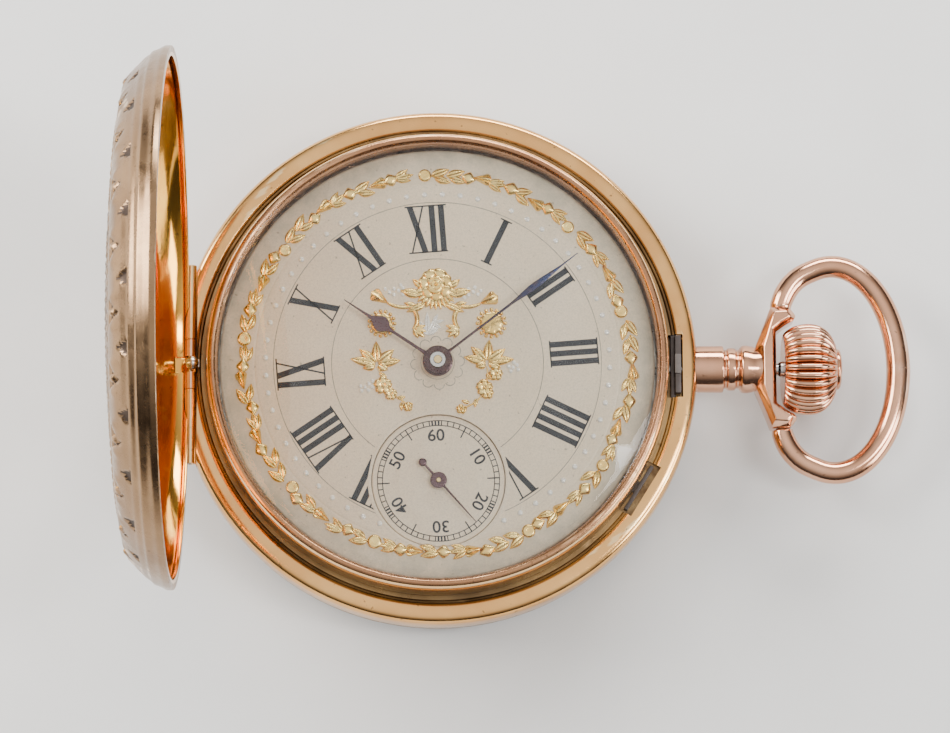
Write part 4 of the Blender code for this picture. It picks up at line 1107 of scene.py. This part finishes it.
def line_ring(r, w, a0=0.0, a1=360.0, at=(0, 0), gap=None, step=2.0):
    """Arc band cut into short pieces, skipping where gap(x, y) is true."""
    out, n = [], int((a1 - a0) / step)
    for k in range(n):
        b0, b1 = (math.radians(a0 + (a1 - a0) * j / n) for j in (k, k + 1))
        xm, ym = at[0] + r * math.cos((b0 + b1) / 2), at[1] + r * math.sin((b0 + b1) / 2)
        if gap and gap(xm, ym):
            continue
        out.append([(at[0] + rr * math.cos(bb), at[1] + rr * math.sin(bb))
                    for rr, bb in ((r - w / 2, b0), (r + w / 2, b0), (r + w / 2, b1),
                                   (r - w / 2, b1))])
    return out


near_sub = lambda x, y: math.hypot(x - SUB[0], y - SUB[1]) < 6.95
fine = line_ring(10.28, 0.075, gap=near_sub) + line_ring(15.92, 0.07, gap=near_sub)
# engraved scalloped rosette round the hands and a fine ring inside it
for k in range(12):
    a = 30 * k
    x, y = polar(2.12, a)
    fine += line_ring(0.50, 0.075, a - 88, a + 88, at=(x, y), step=16)
fine += line_ring(1.62, 0.05, step=6)
slab("engraved_rings", fine, 9.0, 0.008, FINE_INK, "silvered_dial")

# raised pearls of the minute ring
verts, faces = [], []


def bead(verts, faces, x, y, r, h, z=DIAL_Z, n=16, rows=5):
    """Half round bead added to the running lists, in millimetres."""
    s = len(verts)
    verts.append((x, y, z + h))
    for j in range(1, rows + 1):
        t = math.pi / 2 * j / rows
        for k in range(n):
            b = 2 * math.pi * k / n
            verts.append((x + r * math.sin(t) * math.cos(b), y + r * math.sin(t) * math.sin(b),
                          z + h * math.cos(t) - (0.02 if j == rows else 0.0)))
    for k in range(n):
        m = (k + 1) % n
        faces.append([s, s + 1 + k, s + 1 + m])
        for j in range(rows - 1):
            a, b = s + 1 + j * n, s + 1 + (j + 1) * n
            faces.append([a + k, b + k, b + m, a + m])
    faces.append([s + 1 + (rows - 1) * n + k for k in range(n)][::-1])


def pile(name, verts, faces, mat, slot, angle=60, body="case"):
    obj = mesh_object(name, [tuple(c * K for c in v) for v in verts], faces, mat, angle)
    return put(obj, body, slot=slot)


for k in range(60):
    x, y = polar(16.72, 6 * k)
    if math.hypot(x - SUB[0], y - SUB[1]) > 7.05:
        bead(verts, faces, x, y, 0.28, 0.15)
pile("minute_pearls", verts, faces, SILVER_LEAF, "silvered_dial")

# seconds track: two fine rings, ticks and numerals
SECOND_TURN = math.radians(3.0)
z_sub = 8.80
ink_loops = line_ring(5.42, 0.085, at=SUB, step=3) + line_ring(5.90, 0.085, at=SUB, step=3)
for k in range(60):
    a = math.pi / 2 - math.radians(6 * k) + SECOND_TURN
    w, r0, r1 = 0.10, 5.42, 5.90
    if k % 10 == 0:
        w = 0.17
        for off in (-0.055, 0.055):
            u = (math.cos(a + off), math.sin(a + off))
            ink_loops.append(quadstrip((SUB[0] + r0 * u[0], SUB[1] + r0 * u[1]),
                                       (SUB[0] + r1 * u[0], SUB[1] + r1 * u[1]), 0.17))
    elif k % 5 == 0:
        w, r0 = 0.12, 4.72
    u = (math.cos(a), math.sin(a))
    ink_loops.append(quadstrip((SUB[0] + r0 * u[0], SUB[1] + r0 * u[1]),
                               (SUB[0] + r1 * u[0], SUB[1] + r1 * u[1]), w))
slab("seconds_track", ink_loops, z_sub, 0.012, INK, "blued_steel")


def figure(text, at, size, turn, z, thick):
    """Small numeral from the built-in letter shapes, as a closed mesh."""
    cu = bpy.data.curves.new("f_" + text, 'FONT')
    cu.body = text
    cu.size = size * K
    cu.align_x = 'CENTER'
    cu.align_y = 'CENTER'
    cu.extrude = thick / 2 * K
    cu.resolution_u = 6
    cu.offset = 0.022 * K
    tmp = bpy.data.objects.new("f_" + text, cu)
    bpy.context.scene.collection.objects.link(tmp)
    bpy.context.view_layer.update()
    me = bpy.data.meshes.new_from_object(tmp.evaluated_get(
        bpy.context.evaluated_depsgraph_get()))
    bpy.data.objects.remove(tmp, do_unlink=True)
    me.transform(Matrix.Translation(Vector((at[0], at[1], z + thick / 2)) * K)
                 @ Matrix.Rotation(turn, 4, 'Z') @ Matrix.Diagonal((1.05, 1.0, 1.0, 1.0)))
    return me


bm = bmesh.new()
for k, text in enumerate(["60", "10", "20", "30", "40", "50"]):
    a = math.pi / 2 - math.radians(60 * k) + SECOND_TURN
    me = figure(text, (SUB[0] + 4.42 * math.cos(a), SUB[1] + 4.42 * math.sin(a)), 1.62,
                a - math.pi / 2, z_sub, 0.012)
    bm.from_mesh(me)
    bpy.data.meshes.remove(me)
bmesh.ops.remove_doubles(bm, verts=bm.verts, dist=3e-7)
me = bpy.data.meshes.new("seconds_figures")
bm.to_mesh(me)
bm.free()
put(link(bpy.data.objects.new("seconds_figures", me), INK), "case", slot="blued_steel")


# ------------------------------------------------- applied gold and silver -
def leaf_form(verts, faces, x, y, turn, length, width, height=0.16, z=DIAL_Z, n=9, ribs=0,
              shape="leaf", vein=0.35, cup=0.0):
    """Puffed leaf, rhombus, fan or petal lying on the dial, added to running
    lists.  Its stem end is at (x, y) and it points along turn (degrees)."""
    ca, sa = math.cos(math.radians(turn)), math.sin(math.radians(turn))
    width *= 1.28
    length *= 1.08
    height *= 1.35
    cols = 8
    s = len(verts)
    rows = []
    for i in range(n + 1):
        t = i / n
        if shape == "leaf":
            w = math.sin(math.pi * t ** 0.8) ** 0.8
        elif shape == "rhomb":
            w = 1 - abs(2 * t - 1) ** 1.15
            w = w ** 0.8
        elif shape == "fan":
            w = min(1.0, 0.12 + 1.05 * t) * math.sqrt(max(0.0, 1 - ((t - 0.62) / 0.40) ** 2)) \
                if t > 0.62 else (0.12 + 1.0 * t)
        elif shape == "heart":
            w = math.sin(math.pi * min(1.0, t * 0.93)) ** 0.62 if t < 1 else 0.30
        else:                                      # bar, a thin curved stem
            w = 1.0
        if i in (0, n) and shape not in ("bar",):
            w = max(w * 0.0, 0.04) if shape != "heart" or i == 0 else 0.3
        row = []
        for j in range(cols + 1):
            q = -1 + 2 * j / cols
            across = q * width / 2 * w
            along = t * length
            if shape == "heart" and i == n:
                along -= 0.16 * length * (1 - abs(q))
            rise = height * max(0.0, 1 - q * q) ** 0.55 * (0.35 + 0.65 * math.sin(
                math.pi * min(max(t, 0.04), 0.96)) ** 0.6)
            if vein and shape in ("leaf", "heart"):
                rise -= height * vein * math.exp(-(q / 0.22) ** 2)
            if ribs:
                rise += height * 0.32 * math.sin(q * math.pi * ribs + 0.4) \
                    * max(0.0, 1 - q * q) ** 0.4
            bend = cup * (t * length) ** 2
            lx, ly = along, across + bend
            row.append(len(verts))
            verts.append((x + lx * ca - ly * sa, y + lx * sa + ly * ca,
                          z + (max(rise, 0.01) if 0 < j < cols else -0.015)))
        rows.append(row)
    for i in range(n):
        for j in range(cols):
            faces.append([rows[i][j], rows[i + 1][j], rows[i + 1][j + 1], rows[i][j + 1]])
    rim_ = [rows[i][0] for i in range(n + 1)] + [rows[n][j] for j in range(1, cols + 1)] \
        + [rows[i][cols] for i in range(n - 1, -1, -1)] + [rows[0][j] for j in range(cols - 1, 0, -1)]
    base = {}
    for k in rim_:
        vx, vy, _ = verts[k]
        base[k] = len(verts)
        verts.append((vx, vy, z - 0.04))
    for a, b in zip(rim_, rim_[1:] + rim_[:1]):
        faces.append([b, a, base[a], base[b]])
    faces.append([base[k] for k in rim_])


def disc_form(verts, faces, x, y, r, height=0.18, z=DIAL_Z, n=28, dish=0.3, wave=0, deep=0.0):
    """Round boss, slightly dished, or scalloped like a flower."""
    s = len(verts)
    prof = [(0.0, 1 - dish), (0.35, 1 - dish * 0.75), (0.68, 1.0), (0.88, 0.82), (0.98, 0.35),
            (1.0, -0.2)]
    verts.append((x, y, z + height * prof[0][1]))
    for rr, hh in prof[1:]:
        for k in range(n):
            a = 2 * math.pi * k / n
            q = r * rr * (1 + (deep * math.cos(wave * a) if wave else 0.0) * rr)
            groove = 0.25 * height * rr * (1 - abs(math.cos(wave * a / 2))) if wave else 0.0
            verts.append((x + q * math.cos(a), y + q * math.sin(a),
                          z + height * hh - groove))
    for k in range(n):
        m = (k + 1) % n
        faces.append([s, s + 1 + k, s + 1 + m])
        for j in range(len(prof) - 2):
            a, b = s + 1 + j * n, s + 1 + (j + 1) * n
            faces.append([a + k, b + k, b + m, a + m])
    faces.append([s + 1 + (len(prof) - 2) * n + k for k in range(n)][::-1])


def stem_form(verts, faces, pts, w=0.16, height=0.14, z=DIAL_Z):
    """Round-backed stem along points."""
    rows = []
    m = len(pts)
    for i in range(m):
        a, b = Vector(pts[max(i - 1, 0)]), Vector(pts[min(i + 1, m - 1)])
        d = (b - a).normalized()
        side = Vector((-d.y, d.x))
        k = 0.45 + 0.55 * math.sin(math.pi * (0.12 + 0.76 * i / (m - 1)))
        row = []
        for q, h in ((-1, -0.02), (-0.8, 0.55), (-0.3, 1.0), (0.3, 1.0), (0.8, 0.55), (1, -0.02)):
            p = Vector(pts[i]) + side * q * w / 2 * k
            row.append(len(verts))
            verts.append((p.x, p.y, z + height * k * h if h > 0 else z - 0.02))
        rows.append(row)
    for i in range(m - 1):
        for j in range(5):
            faces.append([rows[i][j], rows[i + 1][j], rows[i + 1][j + 1], rows[i][j + 1]])
        faces.append([rows[i][0], rows[i][5], rows[i + 1][5], rows[i + 1][0]])
    faces.append(rows[0])
    faces.append(rows[-1][::-1])


def arc_pts(x0, y0, x1, y1, bulge, n=12):
    """Points of a smooth bow between two ends."""
    a, b = Vector((x0, y0)), Vector((x1, y1))
    side = Vector((-(b - a).y, (b - a).x))
    out = []
    for i in range(n + 1):
        t = i / n
        out.append(tuple(a + (b - a) * t + side * bulge * 4 * t * (1 - t)))
    return out


TURN_DIAL = math.radians(-1.35)


def on_dial(u, v):
    """Design grid of the centre ornament (34 units to the millimetre)."""
    x, y = u / 34 - 23, 23 - v / 34
    return (x * math.cos(TURN_DIAL) - y * math.sin(TURN_DIAL),
            x * math.sin(TURN_DIAL) + y * math.cos(TURN_DIAL))


gv, gf = [], []          # gold
sv, sf = [], []          # silver
# wreath near the edge: groups of leaves, rhombi, bosses and ribbed fans
WR = 18.72
a = 96.0
kinds = ["boss", "leaf", "leaf", "rhomb", "fan", "leaf2", "rhomb", "leaf", "fan", "rhomb",
         "leaf2", "boss", "leaf", "rhomb", "leaf2", "fan", "leaf", "rhomb"]
spin = 0
stop = a - 360 + 3.4
while a > stop + 1.0:
    kind = kinds[spin % len(kinds)]
    spin += 1
    wob = R.uniform(-0.22, 0.22)
    r0 = WR + wob
    x, y = polar(r0, a, False)
    if math.hypot(x - SUB[0], y - SUB[1]) < 6.9:
        a -= 1.0
        continue
    tangent = a - 90
    if kind == "boss":
        x, y = polar(r0, a - 2.2, False)
        disc_form(gv, gf, x, y, 0.66 + R.uniform(-0.04, 0.06), 0.26, dish=0.22)
        a -= 4.1
        if R.random() < 0.4:
            a -= 1.0                                   # small gap between sprays
    elif kind == "rhomb":
        leaf_form(gv, gf, x, y, tangent + R.uniform(-12, 12), 1.38 + R.uniform(-0.1, 0.15),
                  1.12, 0.22, shape="rhomb", vein=0)
        a -= 3.5
    elif kind == "fan":
        leaf_form(gv, gf, x, y, tangent + R.uniform(-6, 6), 1.7, 1.12, 0.22, shape="fan",
                  ribs=3, n=10)
        a -= 4.7
    elif kind == "leaf":
        leaf_form(gv, gf, x, y, tangent + R.uniform(12, 26), 1.75, 0.74, 0.2)
        x, y = polar(r0 - 0.12, a - 0.9, False)
        leaf_form(gv, gf, x, y, tangent - R.uniform(14, 30), 1.6, 0.66, 0.2)
        a -= 4.6
    else:
        for off in (24, -22, 2):
            leaf_form(gv, gf, x, y, tangent + off + R.uniform(-5, 5), 1.5 + 0.25 * (off == 2),
                      0.56, 0.18)
        a -= 4.7

# the rose over the hands, with its frill
cx, cy = on_dial(770, 525)
for k in range(13):                                     # pleated frill below the bloom
    t = 196 + k * 12.4
    x, y = cx + 1.0 * math.cos(math.radians(t)), cy + 1.0 * math.sin(math.radians(t))
    leaf_form(gv, gf, x, y, t, 1.28, 0.46, 0.17, vein=0, n=7)
for k in range(7):                                      # outer petals
    t = 18 + k * 51.4
    x, y = cx + 0.52 * math.cos(math.radians(t)), cy + 0.12 + 0.52 * math.sin(math.radians(t))
    leaf_form(gv, gf, x, y, t, 1.12, 1.30, 0.24, shape="heart", vein=0, n=9)
disc_form(gv, gf, cx, cy + 0.12, 0.98, 0.40, dish=0.05, wave=5, deep=0.05)
for rr_, b0, b1, w_, h_ in ((0.86, 190, 352, 0.34, 0.52), (0.74, 20, 150, 0.30, 0.50),
                            (0.50, 240, 400, 0.26, 0.60), (0.42, 80, 222, 0.24, 0.62)):
    pts = [(cx + rr_ * math.cos(math.radians(b0 + (b1 - b0) * q / 12)),
            cy + 0.12 + rr_ * 0.92 * math.sin(math.radians(b0 + (b1 - b0) * q / 12)))
           for q in range(13)]
    stem_form(gv, gf, pts, w_, h_)
disc_form(gv, gf, cx + 0.04, cy + 0.14, 0.22, 0.64, dish=0.3)
# heart leaves either side on stems
for (u, v, t, u2, v2) in ((612, 585, 128, 705, 590), (918, 580, 42, 835, 585)):
    x, y = on_dial(u, v)
    leaf_form(gv, gf, x, y, t + (18 if u < 700 else -18), 1.75, 1.30, 0.24, shape="fan", ribs=2)
    x2, y2 = on_dial(u2, v2)
    stem_form(gv, gf, arc_pts(x, y, x2, y2, -0.12 if u < 700 else 0.12), 0.42, 0.2)
    leaf_form(gv, gf, x2, y2, 170 if u < 700 else 10, 1.1, 0.4, 0.18, vein=0)
for (u, v, t, ln, wd) in ((722, 556, 168, 1.9, 0.8), (818, 552, 12, 1.9, 0.8),
                          (738, 585, 204, 1.9, 0.62), (802, 583, -24, 1.9, 0.62),
                          (728, 530, 142, 1.2, 0.6), (815, 528, 38, 1.2, 0.6)):
    x, y = on_dial(u, v)
    leaf_form(gv, gf, x, y, t, ln, wd, 0.2)
# curved supports and shells
for sgn, (u0, v0), (u1, v1) in ((-1, (690, 598), (700, 672)), (1, (852, 592), (850, 668))):
    x0, y0 = on_dial(u0, v0)
    x1, y1 = on_dial(u1, v1)
    stem_form(gv, gf, arc_pts(x0, y0, x1, y1, -0.22 * sgn), 0.52, 0.24)
    leaf_form(gv, gf, x1, y1, -62 if sgn < 0 else -118, 0.95, 0.42, 0.2, vein=0)
    for k in range(3):
        leaf_form(gv, gf, x1, y1, (-35 + 26 * k) if sgn < 0 else (-145 - 26 * k) + 360,
                  1.25, 0.46, 0.2, vein=0.1)
# silver sprig between them
x, y = on_dial(745, 690)
for t, ln in ((62, 1.8), (90, 2.1), (118, 1.5), (35, 1.3)):
    leaf_form(sv, sf, x, y, t, ln, 0.52, 0.15)
x, y = on_dial(762, 650)
for t, ln in ((15, 1.1), (60, 1.0), (-30, 0.9)):
    leaf_form(sv, sf, x, y, t, ln, 0.36, 0.13)
# beaded discs
for (u, v, rr, count) in ((595, 655, 1.0, 15), (957, 645, 1.12, 16)):
    x, y = on_dial(u, v)
    disc_form(gv, gf, x, y, rr + 0.08, 0.22, dish=0.12, n=36, wave=9, deep=0.04)
    for k in range(count):
        t = 2 * math.pi * k / count
        bead(gv, gf, x + (rr + 0.24) * math.cos(t), y + (rr + 0.24) * math.sin(t), 0.20, 0.19,
             n=10, rows=3)
# leaf sprays
for (u, v, main, spread) in ((582, 790, 100, 1), (945, 775, 60, -1)):
    x, y = on_dial(u, v)
    for t, ln in ((92, 1.9), (140, 1.9), (40, 1.85), (170, 2.3), (8, 2.0), (-30, 1.0),
                  (200, 1.2)):
        t2 = t if u < 700 else 188 - t - 12
        leaf_form(gv, gf, x + 0.15 * math.cos(math.radians(t2)),
                  y + 0.15 * math.sin(math.radians(t2)), t2, ln, 0.78, 0.22)
# flowers hanging down, getting smaller
for (u, v, rr) in ((603, 862, 0.86), (630, 890, 0.62), (688, 932, 0.46), (975, 815, 0.66),
                   (938, 862, 0.80), (948, 880, 0.6), (862, 935, 0.46)):
    x, y = on_dial(u, v)
    for k in range(5):
        t = 72 * k + 18
        leaf_form(gv, gf, x, y, t, rr * 1.02, rr * 0.86, 0.22, shape="heart", vein=0.1, n=7)
    bead(gv, gf, x, y, rr * 0.28, 0.30, n=12, rows=3)
for pts in (((582, 800), (603, 862)), ((630, 890), (688, 932)), ((945, 790), (938, 862)),
            ((938, 880), (862, 935))):
    p, q = on_dial(*pts[0]), on_dial(*pts[1])
    stem_form(gv, gf, arc_pts(*p, *q, 0.08), 0.2, 0.14)
    for f, side_ in ((0.35, 48), (0.62, -52), (0.8, 40)):
        t = math.degrees(math.atan2(q[1] - p[1], q[0] - p[0]))
        leaf_form(gv, gf, p[0] + (q[0] - p[0]) * f, p[1] + (q[1] - p[1]) * f, t + side_, 0.8,
                  0.36, 0.16)
# clusters of silver pearls
for (u, v, pts) in ((650, 545, [(-1.0, -.1), (-.55, .25), (-.55, -.35), (-.1, .05), (.35, .3),
                                (.3, -.3), (-1.4, .2), (.75, 0), (.1, .6)]),
                    (882, 545, [(-.6, .1), (-.1, .4), (-.1, -.2), (.35, .1), (.8, -.15),
                                (.5, .55), (-.5, -.45), (1.1, .2)]),
                    (543, 870, [(0, 0), (.4, .35), (.75, .05), (.35, -.3), (-.3, -.35),
                                (.8, .6), (-.4, .1)]),
                    (1030, 792, [(0, 0), (-.4, .1), (.4, .25), (.1, .5), (-.2, -.35), (.5, -.2)])):
    x, y = on_dial(u, v)
    for dx, dy in pts:
        bead(sv, sf, x + dx, y + dy, 0.215, 0.14, n=12, rows=4)
pile("dial_gold_ornament", gv, gf, GOLD_LEAF, "yellow_gold", 50)
pile("dial_silver_ornament", sv, sf, SILVER_LEAF, "silvered_dial", 50)


# ----------------------------------------------------------------- hands ---
def blade(name, stations, z0, z1, mat, ridge=0.0):
    """Long flat blade along +X; each section has chamfered shoulders."""
    verts, faces, rows = [], [], []
    t = z1 - z0
    for r, w in stations:
        c = min(0.05, w * 0.5)
        sec = [(-w, z0), (-w, z1 - c * 0.8), (-w + c, z1), (0.0, z1 + ridge * min(1.0, w / 0.3)),
               (w - c, z1), (w, z1 - c * 0.8), (w, z0)]
        rows.append([len(verts) + k for k in range(len(sec))])
        verts += [(r * K, y * K, z * K) for y, z in sec]
    m = len(rows[0])
    for a, b in zip(rows, rows[1:]):
        for k in range(m):
            q = (k + 1) % m
            faces.append([a[k], b[k], b[q], a[q]])
    faces.append(rows[0][::-1])
    faces.append(rows[-1])
    return mesh_object(name, verts, faces, mat, 24, recalc=True)


def hand(name, stations, z0, z1, angle, hub, bore, centre, mat, body, node, ridge=0.02,
         ball=None, crown_ring=0.0):
    obj = blade(name, stations, z0, z1, mat, ridge)
    rim_ = revolve("c_hub", soften(
        [(bore, z1 + crown_ring), (hub - 0.12, z1 + crown_ring), (hub, z1 - 0.02 + crown_ring * 0.4),
         (hub, z0), (bore, z0)], [.03, .06, .06, .02, .02], closed=True, n=3), None, 96)
    boolean(obj, [rim_], 'UNION', 28)
    if ball:
        dist, rad_ = ball
        tail = blade("c_tail", [(-dist, 0.085), (-hub + 0.1, 0.12)], z0, z1 - 0.004, None)
        knob = revolve("c_ball", soften([(0.0, z1 + 0.03), (rad_ * 0.6, z1 + 0.025),
                                         (rad_, z1 - 0.03), (rad_, z0), (0.0, z0)],
                                        [0, .1, .08, .03, 0], n=3), None, 48, ring=False,
                       place=(-dist, 0, 0))
        boolean(obj, [tail, knob], 'UNION', 28)
        hole = rod("c_bore", bore, (0, 0, z0 - 1), (0, 0, z1 + 1))
        boolean(obj, [hole], angle=28)
    else:
        hole = rod("c_bore", bore, (0, 0, z0 - 1), (0, 0, z1 + 1), steps=64)
        boolean(obj, [hole], angle=28)
    obj.data.transform(Matrix.Translation(Vector((centre[0], centre[1], 0)) * K)
                       @ Matrix.Rotation(math.radians(angle), 4, 'Z'))
    put(obj, body, node, slot="blued_steel")
    return obj


hand("hour_spade_hand",
     [(1.38, 0.25), (1.62, 0.19), (2.1, 0.145), (5.2, 0.135), (5.5, 0.19), (5.75, 0.34),
      (6.0, 0.56), (6.3, 0.74), (6.6, 0.80), (6.9, 0.72), (7.2, 0.52), (7.5, 0.32), (7.9, 0.17),
      (8.6, 0.11), (10.9, 0.03)], 9.9, 10.06, 146.35, 1.47, 1.2, (0, 0), PURPLE, "hours",
     "hour_hand", 0.02)
hand("minute_long_hand",
     [(1.30, 0.22), (1.55, 0.15), (1.9, 0.115), (6.0, 0.115), (9.0, 0.12), (9.8, 0.17),
      (10.6, 0.26), (11.4, 0.33), (12.2, 0.33), (13.2, 0.26), (14.3, 0.15), (15.2, 0.075),
      (17.2, 0.03)], 10.66, 10.80, 37.75, 1.4, 0.79, (0, 0), TEMPERED, "minutes", "minute_hand",
     0.04, crown_ring=0.0)
hand("small_seconds_hand",
     [(0.74, 0.13), (1.0, 0.10), (3.5, 0.075), (5.5, 0.03)], 9.3, 9.4, -48.45, 0.8, 0.25, SUB,
     PURPLE, "seconds", "seconds_hand", 0.015, ball=(2.33, 0.40))


# ------------------------------------------- finishes on the CAD's pieces --
def dress(node, mat, bevel=0.03, angle=30):
    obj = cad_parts.get(node)
    if obj is None:
        return
    if not obj.material_slots:
        obj.data.materials.append(mat)
    for s_ in obj.material_slots:
        s_.link = 'OBJECT'
        s_.material = mat
    if bevel:
        mod = obj.modifiers.new("edge", 'BEVEL')
        mod.width = bevel * K
        mod.segments = 2
        mod.limit_method = 'ANGLE'
        mod.angle_limit = math.radians(angle)
        mod.use_clamp_overlap = True
        mod.harden_normals = False


for names, mat, bev in (
        (("mainplate", "barrel_bridge", "train_bridge", "balance_cock", "pallet_cock"), NICKEL, 0.06),
        (("center_wheel", "third_wheel", "fourth_wheel", "hour_wheel", "minute_wheel",
          "mainspring_barrel", "barrel_lid", "balance_wheel"), GILT, 0.02),
        (("escape_wheel", "cannon_pinion", "dial_washer", "ratchet_wheel", "crown_wheel",
          "winding_pinion", "click", "pallet_fork", "regulator", "barrel_arbor",
          "stem_collar"), STEEL, 0.02),
        (("case_screw_1", "case_screw_2", "ratchet_screw", "crown_wheel_screw", "mainspring",
          "hairspring"), BLUED, 0.02),
        (("balance_jewel",), RUBY, 0.03)):
    for name in names:
        dress(name, mat, bev)

# -------------------------------------------------------- floor and light --
s = Nodes("pale_paper")
tone = s.mix(s.map(s.noise(60, 6, 0.6), 0.3, 0.7, 0, 1), (0.72, 0.715, 0.70), (0.76, 0.755, 0.74))
paper = s.finish(tone, 0.85, 0.0, s.bump(s.noise(900, 4), 0.12, 0.0001))
bm = bmesh.new()
bmesh.ops.create_grid(bm, x_segments=1, y_segments=1, size=0.9)
bmesh.ops.translate(bm, verts=bm.verts, vec=(0, 0, -0.00006))
me = bpy.data.meshes.new("table_top")
bm.to_mesh(me)
bm.free()
floor = link(bpy.data.objects.new("table_top", me), paper)

world = bpy.data.worlds.new("studio")
bpy.context.scene.world = world
world.use_nodes = True
wt = world.node_tree
wt.nodes.clear()
w_out = wt.nodes.new("ShaderNodeOutputWorld")
w_bg = wt.nodes.new("ShaderNodeBackground")
w_tc = wt.nodes.new("ShaderNodeTexCoord")
w_sep = wt.nodes.new("ShaderNodeSeparateXYZ")
w_map = wt.nodes.new("ShaderNodeMapRange")
w_ramp = wt.nodes.new("ShaderNodeValToRGB")
wt.links.new(w_tc.outputs["Generated"], w_sep.inputs[0])
wt.links.new(w_sep.outputs[2], w_map.inputs[0])
w_map.inputs[1].default_value = -0.2
w_map.inputs[2].default_value = 1.0
wt.links.new(w_map.outputs[0], w_ramp.inputs[0])
els = w_ramp.color_ramp.elements
els[0].position, els[0].color = 0.10, (0.065, 0.065, 0.07, 1)
els[1].position, els[1].color = 0.99, (1.25, 1.23, 1.20, 1)
mid_el = els.new(0.50)
mid_el.color = (0.11, 0.11, 0.115, 1)
high_el = els.new(0.78)
high_el.color = (0.55, 0.545, 0.54, 1)
wt.links.new(w_ramp.outputs[0], w_bg.inputs[0])
w_back = wt.nodes.new("ShaderNodeMath")        # the far side of the room is lighter
w_back.operation = 'MULTIPLY_ADD'
w_back.inputs[1].default_value = 0.30
w_back.inputs[2].default_value = 1.10
wt.links.new(w_sep.outputs[1], w_back.inputs[0])
wt.links.new(w_back.outputs[0], w_bg.inputs[1])
wt.links.new(w_bg.outputs[0], w_out.inputs[0])


def area(name, loc, aim, w, h, power, colour=(1, 1, 1)):
    data = bpy.data.lights.new(name, 'AREA')
    data.shape = 'RECTANGLE'
    data.size, data.size_y = w, h
    data.energy = power
    data.color = colour
    obj = bpy.data.objects.new(name, data)
    bpy.context.scene.collection.objects.link(obj)
    obj.location = loc
    obj.rotation_euler = (Vector(aim) - Vector(loc)).to_track_quat('-Z', 'Y').to_euler()
    return obj


area("left_soft", (-0.46, 0.16, 0.30), (0, 0, 0.01), 0.34, 0.40, 6.2, (1.0, 0.985, 0.96))
area("back_soft", (0.12, 0.56, 0.26), (0, 0, 0.01), 0.50, 0.20, 5.6, (1.0, 0.99, 0.97))
area("right_soft", (0.52, -0.20, 0.28), (0, 0, 0.01), 0.30, 0.30, 2.8, (0.97, 0.985, 1.0))
area("window", (0.300, -0.028, 0.50), (0.300, -0.028, 0.0), 0.25, 0.075, 1.0)

cam_data = bpy.data.cameras.new("camera")
cam_data.lens = 4482.03 / 950 * 36
cam_data.sensor_width = 36
cam_data.clip_start = 0.01
cam_data.clip_end = 10
cam = bpy.data.objects.new("camera", cam_data)
bpy.context.scene.collection.objects.link(cam)
view = Matrix.Rotation(math.radians(-1.35), 4, 'Z') \
    @ Matrix.Translation(Vector((-3.503, -77.957, 428.864)) * K) \
    @ Matrix.Rotation(math.radians(1.19006), 4, 'Z') \
    @ Matrix.Rotation(math.radians(-1.17198), 4, 'Y') \
    @ Matrix.Rotation(math.radians(10.2663), 4, 'X')
cam.matrix_world = Matrix.Translation((0, 0, 8.0 * K)) @ view
bpy.context.scene.camera = cam
